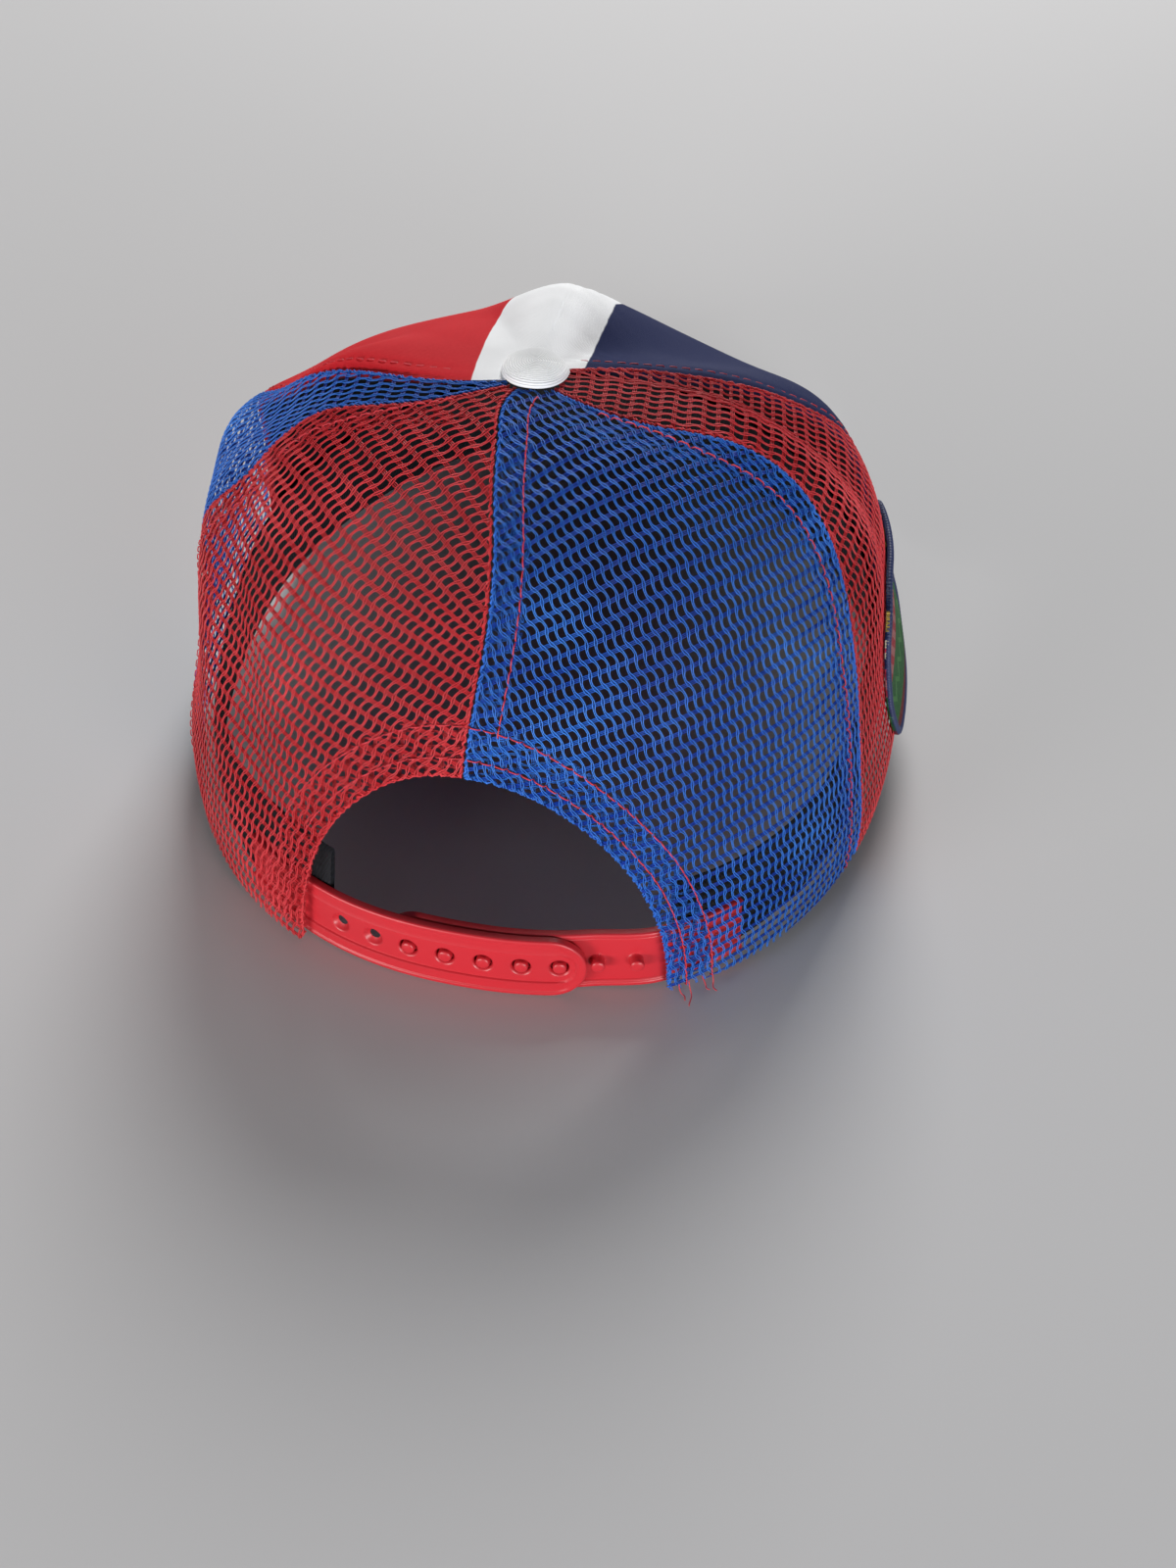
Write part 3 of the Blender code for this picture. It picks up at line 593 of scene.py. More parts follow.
# Knitted net yarn: deep laid-in threads and brighter wales, slightly uneven in shade and gloss, with
# patches of painted highlight where the laid-in threads are lightened in colour as if they caught the light.
def netYarn(name, deep, light, bright):
    finish = Finish(name, Specular_IOR_Level=0.22)
    wale = finish.attribute("wale")
    patchy = finish.noise(90, 3)
    fine = finish.noise(1600, 2)
    # painted highlight: noise patches that lighten the laid-in threads' colour where they would catch the
    # light
    flat = finish.noise(28, 2).soft(0.52, 0.72)
    share = wale * (bright[1] - bright[0]) + bright[0]
    shade = finish.mix(share + patchy * 0.35 - 0.17 + flat * 0.4, deep, light)
    shade = finish.mix(fine * 0.4, shade, toned(deep, 0.4))
    finish.wear(Base_Color=shade, Roughness=0.26 + 0.2 * fine)
    return finish.bump(finish.noise(4200, 1), 0.00006, 0.6)


# Foam-backed knit: a white stripe beside the front centre seam, then the panel's colour, and a black back.
def foamCloth(name, colour):
    finish = Finish(name, Specular_IOR_Level=0.12)
    u, v, _ = finish.axes(finish.cloth())
    edge = finish.attribute("stripe") + finish.noise(260, 2) * 0.3 - 0.15
    ribs = (u * (2 * np.pi / 0.00062)).sine() * (v * (2 * np.pi / 0.00046)).sine()
    wash = finish.noise(45, 3)
    fine = finish.noise(1300, 2)
    printed = finish.mix(wash * 0.35 + ribs * 0.12, colour, toned(colour, 0.66))
    printed = finish.mix(fine * 0.25, printed, tuple(min(1, 1.5 * c + 0.02) for c in colour))
    white = finish.mix(wash * 0.3 + ribs * 0.1, colours["whiteFoam"], (0.77, 0.79, 0.83))
    ground = finish.mix(edge.soft(-0.16, 0.16), printed, white)
    lined = finish.mix(finish.attribute("lining"), ground, colours["lining"])
    finish.wear(Base_Color=lined, Roughness=0.62 + 0.2 * wash)
    return finish.bump(ribs * 0.5 + fine * 0.8, 0.00012, 0.45)


# Thread: one colour with fine darker specks.
def plainThread(name, colour):
    finish = Finish(name, Specular_IOR_Level=0.5)
    fine = finish.noise(2400, 2)
    shade = finish.mix(fine * 0.6, colour, toned(colour, 0.5))
    finish.wear(Base_Color=shade, Roughness=0.4 + 0.2 * fine)
    return finish.bump(fine, 0.00008, 0.6)


# Twill: fine diagonal ribs a millimetre apart over the cloth's own lengths.
def twill(name, colour):
    finish = Finish(name, Sheen_Weight=0.05, Specular_IOR_Level=0.2)
    u, v, _ = finish.axes(finish.cloth())
    ribs = ((u + v * 0.7) * (2 * np.pi / mm)).sine()
    cross = ((u - v * 1.4) * (2 * np.pi / mm * 1.7)).sine()
    worn = finish.noise(60, 3)
    shade = finish.mix(ribs * 0.25 + worn * 0.5, toned(colour, 0.6), toned(colour, 1.6))
    finish.wear(Base_Color=shade, Roughness=0.68 + 0.2 * worn)
    return finish.bump(ribs + cross * 0.4, 0.00016, 0.7)


# Moulded plastic: a soft flow in the shade, rubbed gloss and a few faint scratches along the strap.
def strapPlastic(name):
    finish = Finish(name, Specular_IOR_Level=0.5, Coat_Weight=0.1, Coat_Roughness=0.35)
    u, v, _ = finish.axes(finish.cloth())
    stretched = finish.node("ShaderNodeCombineXYZ", None, {0: u * 60, 1: v * 900, 2: 0.0})
    scratch = finish.noise(1.0, 3.0, stretched)
    flow = finish.noise(55, 3)
    shade = finish.mix(flow * 0.55, colours["plastic"], toned(colours["plastic"], 0.78))
    finish.wear(Base_Color=shade, Roughness=0.33 + 0.14 * flow + scratch.soft(0.55, 0.8) * 0.12)
    return finish.bump(finish.noise(700, 3) * 0.5 + scratch * 0.3, 0.00004, 0.5)


# Ribbed knit over the button: fine ribs that run round it.
def buttonKnit(name):
    finish = Finish(name, Sheen_Weight=0.3, Specular_IOR_Level=0.35)
    u, v, _ = finish.axes(finish.cloth())
    ribs = (v * (2 * np.pi / 0.00056)).sine()
    wash = finish.noise(400, 2)
    shade = finish.mix(ribs * 0.28 + 0.28 + wash * 0.15, (0.91, 0.92, 0.93), (0.66, 0.68, 0.72))
    finish.wear(Base_Color=shade, Roughness=0.7 + 0.15 * wash)
    return finish.bump(ribs, 0.0001, 0.7)


# Embroidery on a patch, in millimetres of the patch's own width and height: a navy field with two rows of
# gold and cream diamonds, a red band of slanting bars, a green band with a zigzag and a dark red foot.
def patchThread(name):
    finish = Finish(name, Specular_IOR_Level=0.15)
    u, v, _ = finish.axes(finish.cloth())
    x, y = u * 1000, v * 1000
    wave = finish.noise(700, 2)
    gold, cream, green = (0.52, 0.36, 0.08), (0.70, 0.62, 0.42), (0.02, 0.16, 0.035)
    red, navy, darkRed = (0.55, 0.03, 0.05), (0.008, 0.016, 0.07), (0.22, 0.010, 0.016)

    def diamonds(pitchX, pitchY, middle, size):
        across = ((x / pitchX + 100.5).fraction() - 0.5).size() * pitchX
        up = (y - middle).size() * (pitchX / pitchY)
        return (across + up) < size

    upper = (y > 5) * (y < 27)
    row = finish.mix(diamonds(8.0, 9.0, 21.0, 3.4), navy, gold)
    row = finish.mix(diamonds(8.0, 9.0, 21.0, 1.5), row, navy)
    row = finish.mix(diamonds(8.0, 9.0, 11.5, 3.4), row, cream)
    row = finish.mix(diamonds(8.0, 9.0, 11.5, 1.5), row, red)
    bars = (((x + y * 0.8) / 6.0 + 100).fraction() > 0.5)
    middle = finish.mix(bars, red, (0.62, 0.20, 0.20))
    zigzag = (((x / 7.0 + 100).fraction() - 0.5).size() * 7.0 - (y + 13.5)).size() < 0.9
    lower = finish.mix(zigzag, green, (0.09, 0.30, 0.08))
    design = finish.mix(upper, middle, row)
    design = finish.mix(y < -5, design, lower)
    design = finish.mix(y < -19, design, darkRed)
    lines = ((y + wave * 0.35) * (2 * np.pi / 0.42)).sine()
    slant = ((x * 0.8 + y + wave * 0.35) * (2 * np.pi / 0.46)).sine()
    threads = finish.mix(lines * 0.3 + slant * 0.15 + 0.25, design, (0.0, 0.0, 0.0))
    finish.wear(Base_Color=threads, Roughness=0.42 + 0.25 * wave)
    return finish.bump(lines + slant * 0.6 + wave, 0.00022, 0.8)


redNet = netYarn("redNet", **colours["redYarn"])
blueNet = netYarn("blueNet", **colours["blueYarn"])
redThread = plainThread("redThread", (0.62, 0.028, 0.045))
navyThread = plainThread("navyThread", (0.018, 0.030, 0.11))
print("net and thread finishes made")


# Net panels
#
# The net is laid out flat around one meridian of each panel and then bent onto the crown, as a cut piece
# of net is.
netWeave = {
    "pitch": 2.05 * mm,  # between two wales
    "rowPitch": 3.2 * mm,  # between two bars
    "zigzag": 0.185,  # how far a wale swings to each side, as a share of the pitch
    "waleRadius": 0.125 * mm,
    # half distance of a wale's two strands at a bar, and its change at a hole
    "waleSplit": (0.34 * mm, -0.24 * mm),
    "barRadius": 0.145 * mm,
    "barSpread": 0.36 * mm,  # between the threads of one bar
    "waleDepth": 0.34 * mm,
    "barDepth": 0.62 * mm,
    "waleSteps": 3,  # points of a wale from bar to bar
    "waleSwing": (1.15, 0.25),  # sine and cosine part of a wale's swing
    "waleDip": 0.10 * mm,  # how far a wale sinks at a hole
    "barDip": 0.05 * mm,  # how far the middle thread of a bar lies below the other two
    "wales": (-40, 41),  # numbers of the wales and rows over the whole flat layout
    "rows": (-12, 58),
    "middle": 60 * mm,  # height of the place that a panel's rows are turned around
    "drift": 0.55 * mm,  # slow unevenness of the whole net
    "driftLengths": (17 * mm, 31 * mm, 19 * mm, 6.1 * mm, 9 * mm),
    "fineDrift": 0.4,  # share of the drift in the short waves
    "threadDepth": 0.9,  # of a thread, as a share of its width
    "seamTrim": 0.35 * mm,  # from a panel's seams to the threads' ends
    "rimTrim": 0.5 * mm,
    "seamRoll": {"depth": 0.65 * mm, "wander": 0.42 * mm, "strands": 3},
    "seamRollInset": 0.55 * mm,
    "openingRoll": {"depth": 1.1 * mm, "wander": 0.5 * mm, "strands": 4},
    "openingRollInset": 0.5 * mm,
    "openingRollFoot": 1.2 * mm,  # over the rim
}
flatReach = 64  # degrees of azimuth flattened to each side of the meridian


# Flat layout of the crown around one meridian, as azimuth and share on a flat grid. Height is the length
# along the meridian to the foot of a point's perpendicular, side the length along the row through that foot.
def flatten(spine):
    azimuths = np.linspace(spine - flatReach, spine + flatReach, 2 * flatReach + 1)
    shares = np.linspace(-0.12, 1.0, 113)
    points = dentedCrown(azimuths[:, None], shares[None])
    lineShares = np.linspace(-0.2, 1.0, 241)
    line = dentedCrown(spine, lineShares)
    tangents = unit(np.gradient(line, axis=0))
    lengths = lengthsOf(line) - np.interp(0.0, lineShares, lengthsOf(line))
    nearest = ((points[:, :, None] - line[None, None]) ** 2).sum(-1).argmin(-1)
    height = lengths[nearest] + ((points - line[nearest]) * tangents[nearest]).sum(-1)
    height = np.maximum.accumulate(height, axis=1)
    up = np.arange(-14, 172) * mm
    share = np.array([np.interp(up, row, shares) for row in height])
    rows = dentedCrown(azimuths[:, None], share)
    side = lengthsOf(rows)
    side = side - side[flatReach]
    out = np.arange(-96, 97) * mm
    table = np.array([
        (np.interp(out, place, azimuths), np.interp(out, place, level))
        for place, level in zip(side.T, share.T)
    ])
    return {"table": table.transpose(2, 0, 1), "out": out[0], "up": up[0], "step": mm}


# Azimuth and share of points of the flat layout, by straight blends between its grid's corners.
def bent(layout, out, up):
    table, step = layout["table"], layout["step"]
    i = np.clip((out - layout["out"]) / step, 0, table.shape[0] - 1.001)
    j = np.clip((up - layout["up"]) / step, 0, table.shape[1] - 1.001)
    a, b = i.astype(int), j.astype(int)
    p, q = (i - a)[..., None], (j - b)[..., None]
    found = (
        table[a, b] * (1 - p) * (1 - q) + table[a + 1, b] * p * (1 - q)
        + table[a, b + 1] * (1 - p) * q + table[a + 1, b + 1] * p * q
    )
    return found[..., 0], found[..., 1]


# How far a point lies outside the arched opening: the oval's own measure over the size of its slope.
def outsideOpening(azimuth, share):
    along = lengthAt(azimuth)
    half = np.where(along > 0, opening["right"], opening["left"])
    up = np.maximum(smoothCrown(azimuth, share)[..., 2], 0)
    power = opening["roundness"]
    a, b = np.abs(along) / half, up / opening["height"]
    grown = np.maximum(a**power + b**power, 1e-9) ** (1 / power)
    slope = np.hypot(a ** (power - 1) / half, b ** (power - 1) / opening["height"]) / grown ** (power - 1)
    return (grown - 1) / slope


# Distances to a panel's two seams, along the level.
def fromSeams(start, end, azimuth, share):
    left, right = seamPair(start, end, share)
    width = np.radians(1) * levelRadius(azimuth, share)
    return (azimuth - left) * width, (right - azimuth) * width


# Distance to the nearest edge of a panel, positive inside.
def insidePanel(start, end, azimuth, share):
    beside = np.minimum(*fromSeams(start, end, azimuth, share))
    if "back" in (start, end):
        beside = np.minimum(beside, outsideOpening(azimuth, share))
    rise = smoothCrown(azimuth, share)[..., 2] - rimHeight(azimuth) - netWeave["rimTrim"]
    top = (crownShape["buttonHole"] - share) * crownShape["height"]
    return np.minimum(np.minimum(beside - netWeave["seamTrim"], top), rise)


# Strands cut at an outline: a point just outside moves to the outline, and the rest outside is dropped.
def cutStrands(out, up, inside):
    within = inside >= 0
    before = np.pad(within[:, :-1], ((0, 0), (1, 0)))
    after = np.pad(within[:, 1:], ((0, 0), (0, 1)))
    for way, neighbour in ((1, before & ~within), (-1, after & ~within & ~before)):
        level = np.roll(inside, way, axis=1)
        part = np.where(neighbour, inside / np.where(neighbour, inside - level, 1), 0)
        out = out + part * (np.roll(out, way, axis=1) - out)
        up = up + part * (np.roll(up, way, axis=1) - up)
    return out, up, within[:, :-1] | within[:, 1:]


# Net over a part of the crown: wales are pairs of strands that swing to one side in one row of holes and
# to the other side in the next, and bars are three threads each that run on across the wales. Shear tilts
# only the bars.
def weave(layout, inside, depth=0.0, turn=0.0, offset=(0.0, 0.0), phase=0.0, shear=0.0, stretch=1.0):
    pitch, rowPitch = netWeave["pitch"], netWeave["rowPitch"] * stretch
    middle, drift = netWeave["middle"], netWeave["drift"]
    c, s = math.cos(math.radians(turn)), math.sin(math.radians(turn))

    # A place of the net on the flat layout: it drifts in slow waves, is sheared, and turns.
    def laid(x, y):
        slowUp, slowOut, sway, fineOut, fineUp = netWeave["driftLengths"]
        x = x + offset[0] + drift * np.sin(y / slowUp + x / slowOut + phase)
        y = y + offset[1] + drift * np.sin(x / sway + 1.3 + phase) + shear * x
        y = y + netWeave["fineDrift"] * drift * np.sin(x / fineOut + y / fineUp)
        return x * c - (y - middle) * s, middle + x * s + (y - middle) * c

    parts = []
    wales = np.arange(*netWeave["wales"])[:, None] * pitch
    rows = np.arange(*netWeave["rows"])[:, None] * rowPitch
    rise = np.arange(rows[0, 0], rows[-1, 0], rowPitch / netWeave["waleSteps"])[None]
    sine, cosine = np.sin(np.pi * rise / rowPitch), np.cos(np.pi * rise / rowPitch)
    swing = netWeave["waleSwing"][0] * sine + netWeave["waleSwing"][1] * cosine
    parted = sine**2
    atBar, change = netWeave["waleSplit"]
    for way in (-1, 1):
        x = wales + swing * netWeave["zigzag"] * pitch + way * (atBar + change * parted)
        sunk = netWeave["waleDepth"] + netWeave["waleDip"] * parted + 0 * x
        parts.append((*laid(x, rise + 0 * x), sunk, netWeave["waleRadius"], 1.0))
    run = np.arange(wales[0, 0], wales[-1, 0], pitch)[None]
    for way in (-1, 0, 1):
        y = rows + way * netWeave["barSpread"] * stretch + 0 * run
        sunk = netWeave["barDepth"] + (netWeave["barDip"] if way == 0 else 0) + 0 * y
        parts.append((*laid(run + 0 * y, y), sunk, netWeave["barRadius"], 0.0))
    meshes = []
    for x, y, sunk, radius, wale in parts:
        azimuth, share = bent(layout, x, y)
        x, y, keep = cutStrands(x, y, inside(azimuth, share))
        busy = keep.any(axis=1)
        azimuth, share = bent(layout, x[busy], y[busy])
        centres, normals = crown(azimuth, share, depth + sunk[busy])
        deep = radius * netWeave["threadDepth"]
        points, quads = sweep(centres, normals, radius * stretch, deep, keep=keep[busy])
        meshes.append((points, quads, wale))
    return meshes


# A line of points read again at even steps, with its normals.
def evenLine(line, normals, count):
    lengths = lengthsOf(line)
    spots = np.linspace(0, lengths[-1], count)
    line, normals = (
        np.stack([np.interp(spots, lengths, values) for values in rows.T], -1) for rows in (line, normals)
    )
    return line, unit(normals), spots


roll = {
    "radius": 0.19 * mm,
    "step": 0.55 * mm,  # between two points of a strand
    "pitch": 2.1 * mm,  # along the edge for one turn of the first strand
    "slower": 0.13,  # how much longer each further strand takes for a turn
    "swell": (0.8, 0.35),  # level and size of the uneven distance from the middle
    "swellLength": 2.7 * mm,
    "seedTurn": 0.37,  # share of a turn from one seed to the next
    "flatness": 0.8,  # height of the turns as a share of their width
    "wale": 0.8,
}


# Loose edge of folded net: strands that run along an edge and wind round each other.
def edgeRoll(azimuth, share, depth, wander, strands, seed=0):
    line, normals = crown(azimuth, share, depth)
    count = max(8, int(lengthsOf(line)[-1] / roll["step"]))
    line, normals, spots = evenLine(line, normals, count)
    across = unit(np.cross(normals, np.gradient(line, axis=0)))
    level, size = roll["swell"]
    rows = []
    for k in range(strands):
        turns = spots / roll["pitch"] / (1 + roll["slower"] * k) + k / strands + seed * roll["seedTurn"]
        turn = 2 * np.pi * turns
        swell = wander * (level + size * np.sin(spots / roll["swellLength"] + 1.7 * k + seed))
        beside, above = swell * np.cos(turn), swell * np.sin(turn) * roll["flatness"]
        rows.append(line + across * beside[:, None] + normals * above[:, None])
    points, quads = sweep(np.array(rows), np.array([normals] * strands), roll["radius"], roll["radius"])
    return points, quads, roll["wale"]


# Sewing thread: over each stitch the thread stands proud, and between stitches it dives into the cloth.
stitching = {
    "length": 3.1 * mm,
    "radius": 0.16 * mm,
    "proud": 0.16 * mm,
    "dive": 0.9 * mm,
    "samples": 8,
    "comingUp": 0.22,  # share of a stitch in which the thread comes up
    "flatness": 0.85,  # depth of the thread as a share of its width
    "wander": 0.12 * mm,
}


# A row of stitches along a line, each turned aside a little.
def sewnAlong(line, normals, seed, radius=stitching["radius"], sides=6):
    samples = stitching["samples"]
    count = max(2, round(lengthsOf(line)[-1] / stitching["length"]))
    line, normals, spots = evenLine(line, normals, count * samples + 1)
    part = (np.arange(len(spots)) / samples) % 1
    across = unit(np.cross(normals, np.gradient(line, axis=0)))
    edge = smoothStep(np.minimum(part, 1 - part) / stitching["comingUp"])
    lift = stitching["proud"] * edge - stitching["dive"] * (1 - edge)
    wander = np.repeat(np.random.default_rng(seed).uniform(-1, 1, count + 1), samples)[: len(spots)]
    aside = wander * stitching["wander"] * (part - 0.5) * 2
    line = line + normals * lift[:, None] + across * aside[:, None]
    points, quads = sweep(line[None], normals[None], radius, radius * stitching["flatness"], sides)
    return points, quads, 1.0


# A row of stitches along a line on the crown.
def sewn(azimuth, share, depth, seed):
    return sewnAlong(*crown(azimuth, share, depth), seed)


# Points along the opening's edge from its top down to a height over the rim, moved outwards by an offset.
def openingEdge(side, offset, low):
    half = opening["right"] if side > 0 else opening["left"]
    angle = np.linspace(0.004, math.pi / 2, 160)
    power = opening["roundness"]
    along = half * np.sin(angle) ** (2 / power)
    up = opening["height"] * np.abs(np.cos(angle)) ** (2 / power)
    tiltAlong = (along / half) ** (power - 1) / half
    tiltUp = (up / opening["height"]) ** (power - 1) / opening["height"]
    size = np.hypot(tiltAlong, tiltUp)
    along, up = along + offset * tiltAlong / size, up + offset * tiltUp / size
    azimuth = azimuthAt(side * along)
    return azimuth, shareAt(azimuth, np.maximum(up, low))


yarns = {"red_net": redNet, "blue_net": blueNet}
# Each net panel: its seams, the meridian that it's laid flat around, and how its net lies on it
netPanels = {
    "rear_net_right": {
        "seams": ("back", "rearRight"), "spine": 34, "node": "rear_mesh_right", "slot": "blue_net",
        "lay": {"turn": 11, "shear": -0.07, "stretch": 1.05},
    },
    "rear_net_left": {
        "seams": ("rearLeft", "back"), "spine": -34, "node": "rear_mesh_left", "slot": "red_net",
        "lay": {"turn": -14, "shear": 0.12, "stretch": 1.2, "phase": 2.1},
    },
    "side_net_right": {
        "seams": ("rearRight", "frontRight"), "spine": 94, "node": "side_mesh_right", "slot": "red_net",
        "lay": {"phase": 4.0},
    },
    "side_net_left": {
        "seams": ("frontLeft", "rearLeft"), "spine": -88, "node": "side_mesh_left", "slot": "blue_net",
        "lay": {"phase": 5.2},
    },
}
layouts = {name: flatten(panel["spine"]) for name, panel in netPanels.items()}
for name, panel in netPanels.items():
    start, end = panel["seams"]
    meshes = weave(layouts[name], lambda a, s: insidePanel(start, end, a, s), **panel["lay"])
    shares = np.linspace(0.006, crownShape["buttonHole"], 120)
    for k, (seam, side) in enumerate(((start, 1), (end, -1))):
        lowest = float(shareAt(0.0, opening["height"] + 0.5 * mm)) if seam == "back" else 0.0
        upper = shares[shares > lowest]
        beside = seamAzimuth(seam, upper, side * netWeave["seamRollInset"])
        meshes.append(edgeRoll(beside, upper, **netWeave["seamRoll"], seed=k + 3))
    if "back" in (start, end):
        side = 1 if start == "back" else -1
        edge = openingEdge(side, netWeave["openingRollInset"], netWeave["openingRollFoot"])
        meshes.append(edgeRoll(*edge, **netWeave["openingRoll"]))
    points, quads, wale = joined(meshes)
    net = makePiece(
        name, points, quads, yarns[panel["slot"]], {"wale": wale},
        replaced=[panel["node"]], slot=panel["slot"],
    )
    # the flat cut, counted on a grid of square millimetres
    out, up = np.meshgrid(np.arange(-90, 91) * mm, np.arange(-5, 165) * mm, indexing="ij")
    covered = insidePanel(start, end, *bent(layouts[name], out, up)) > 0
    flat = float(np.ptp(out[covered]) + mm), float(np.ptp(up[covered]) + mm)

# Net folded in behind the seams and along the opening, a second layer close behind the first
folded = {
    "layer": crownShape["netWall"] + crownShape["layerGap"],
    "width": 7.5 * mm,
    "shift": (1.1 * mm, 1.5 * mm),  # how far its wales and bars lie beside those of the panel
    "trim": 0.3 * mm,  # from the seam or the opening's edge
    "backTrim": 0.15 * mm,  # from the back centre
    "foot": 1 * mm,
    "top": 0.94,  # share at which the folds end
}
hemTop = opening["height"] + opening["hem"] + crownShape["pieceGap"]


# Distance to the nearest edge of a strip folded in beside a seam, positive inside.
def insideFold(seam, side, lowest, azimuth, share):
    middle = smoothRows(crownShape["seams"][seam], share)[..., 0]
    out = (azimuth - middle) * side * np.radians(1) * levelRadius(azimuth, share)
    height = smoothCrown(azimuth, share)[..., 2]
    inside = np.minimum(out - folded["trim"], folded["width"] - out)
    return np.minimum(inside, np.minimum((folded["top"] - share) * crownShape["height"], height - lowest))


# Distance to the nearest edge of one half of the opening's hem, positive inside.
def insideHem(side, azimuth, share):
    out = outsideOpening(azimuth, share)
    inside = np.minimum(out - folded["trim"], opening["hem"] - out)
    height = smoothCrown(azimuth, share)[..., 2] - crownShape["edgeGap"]
    return np.minimum(inside, np.minimum(lengthAt(azimuth) * side - folded["backTrim"], height))


folds = {
    "rear_seam_fold_net": {
        "inside": lambda a, s: insideFold("back", 1, hemTop, a, s), "layout": "rear_net_right", "turn": -5,
        "node": "rear_seam_fold", "slot": "blue_net",
    },
    "right_seam_fold_net": {
        "inside": lambda a, s: insideFold("rearRight", -1, folded["foot"], a, s), "layout": "rear_net_right",
        "turn": 62, "node": "right_seam_fold", "slot": "blue_net",
    },
    "left_seam_fold_net": {
        "inside": lambda a, s: insideFold("rearLeft", 1, folded["foot"], a, s), "layout": "rear_net_left",
        "turn": -62, "node": "left_seam_fold", "slot": "red_net",
    },
    "arch_hem_net_right": {
        "inside": lambda a, s: insideHem(1, a, s), "layout": "rear_net_right", "turn": 78,
        "node": "arch_hem_right", "slot": "blue_net",
    },
    "arch_hem_net_left": {
        "inside": lambda a, s: insideHem(-1, a, s), "layout": "rear_net_left", "turn": -78,
        "node": "arch_hem_left", "slot": "red_net",
    },
}
for k, (name, fold) in enumerate(folds.items()):
    meshes = weave(
        layouts[fold["layout"]], fold["inside"], folded["layer"], fold["turn"], folded["shift"], 1.7 * k,
    )
    points, quads, wale = joined(meshes)
    shine = {"wale": np.maximum(wale, roll["wale"])}
    makePiece(name, points, quads, yarns[fold["slot"]], shine, replaced=[fold["node"]], slot=fold["slot"])
print("nets made")

# Foam front panels
foam = {
    "columns": 100,
    "rows": 110,
    "seamDip": 1.1 * mm,  # the cloth turns in at its seams
    "seamReach": 1.7 * mm,
    "frontDip": 0.35 * mm,
    "frontReach": 1.3 * mm,
    "stitchLine": 3.6 * mm,  # from the seam with the net to the topstitching
    "stitchDip": 0.45 * mm,
    "stitchReach": 1.3 * mm,
    "pucker": 0.16 * mm,
    "puckerLengths": (7.1 * mm, 10.3 * mm),  # along the seam with the net and along the front seam
    "puckerReach": 6 * mm,
    "puckerDrift": 23 * mm,
    "swell": 0.22 * mm,  # slow unevenness of the whole face
    "swellLengths": (13 * mm, 17 * mm, 21 * mm),
    "swellStart": 10 * mm,
    "taper": 0.2,  # share below the button in which the foam thins out
    "leastWall": 0.4 * mm,
    # half width of the white stripe on each side of the front centre seam, at places along it
    "stripeLeft": ((-31 * mm, 15.2 * mm), (-12 * mm, 14.5 * mm), (0, 13.7 * mm), (11 * mm, 13.3 * mm)),
    "stripeRight": ((-46 * mm, 7.6 * mm), (-38 * mm, 8.6 * mm), (-27 * mm, 9.35 * mm), (-4 * mm, 9.7 * mm)),
}
foamPanels = {
    "front_foam_right": {
        "seams": ("frontRight", "front"), "node": "front_panel_right", "slot": "navy_foam",
        "cloth": foamCloth("navyFoam", colours["navyFoam"]), "netSeam": 0,
    },
    "front_foam_left": {
        "seams": ("front", "frontLeft"), "node": "front_panel_left", "slot": "red_foam",
        "cloth": foamCloth("redFoam", colours["redFoam"]), "netSeam": 1,
    },
}


# Values from 0 to 1, closer together at both ends.
def closerEnds(count, amount=0.6):
    t = np.linspace(0, 1, count)
    return (1 - amount) * t + amount * (1 - np.cos(np.pi * t)) / 2


# Depth of the foam's face: it turns in at seams, is drawn in along stitches, and puckers beside them.
def foamDepth(toNet, toFront, along):
    dip = foam["seamDip"] * hump(toNet, foam["seamReach"])
    dip = dip + foam["frontDip"] * hump(toFront, foam["frontReach"])
    pull = 0.7 + 0.3 * np.cos(2 * np.pi * along / stitching["length"])
    dip = dip + foam["stitchDip"] * hump(toNet - foam["stitchLine"], foam["stitchReach"]) * pull
    for near, length in zip((toNet, toFront), foam["puckerLengths"]):
        wave = np.sin(2 * np.pi * along / length + 2 * np.sin(along / foam["puckerDrift"]))
        dip = dip + foam["pucker"] * wave * np.exp(-near / foam["puckerReach"])
    across, bending, rising = foam["swellLengths"]
    slow = np.sin(toNet / across + 1.2 * np.sin(along / bending)) * np.sin(along / rising + 0.7)
    return dip + foam["swell"] * slow * smoothStep(along / foam["swellStart"])


for name, panel in foamPanels.items():
    start, end = panel["seams"]
    share = crownShape["buttonHole"] * closerEnds(foam["rows"], 0.4)
    left, right = seamPair(start, end, share)
    azimuth = left + (right - left) * closerEnds(foam["columns"])[:, None]
    base, _ = crown(azimuth, share)
    near = fromSeams(start, end, azimuth, share)
    toNet, toFront = near[panel["netSeam"]], near[1 - panel["netSeam"]]
    along = lengthsOf(base, axis=1)
    face = foamDepth(toNet, toFront, along)
    taper = smoothStep((crownShape["buttonHole"] - share) / foam["taper"])
    wall = crownShape["netWall"] + (crownShape["foamWall"] - crownShape["netWall"]) * taper
    outer, _ = crown(azimuth, share, np.minimum(face, wall - foam["leastWall"]) * (0.25 + 0.75 * taper))
    inner, _ = crown(azimuth, share, wall)
    stripe = np.where(
        base[..., 0] > 0,
        np.interp(base[..., 1], *np.transpose(foam["stripeLeft"])),
        np.interp(base[..., 1], *np.transpose(foam["stripeRight"])),
    ) - np.abs(base[..., 0])
    piece = makeWall(
        name, outer, inner, (lengthsOf(base), along), panel["cloth"],
        values={"stripe": np.tile(stripe.ravel() / mm, 2), "lining": np.repeat([0.0, 1.0], stripe.size)},
        replaced=[panel["node"]], slot=panel["slot"],
    )
print("foam panels made")

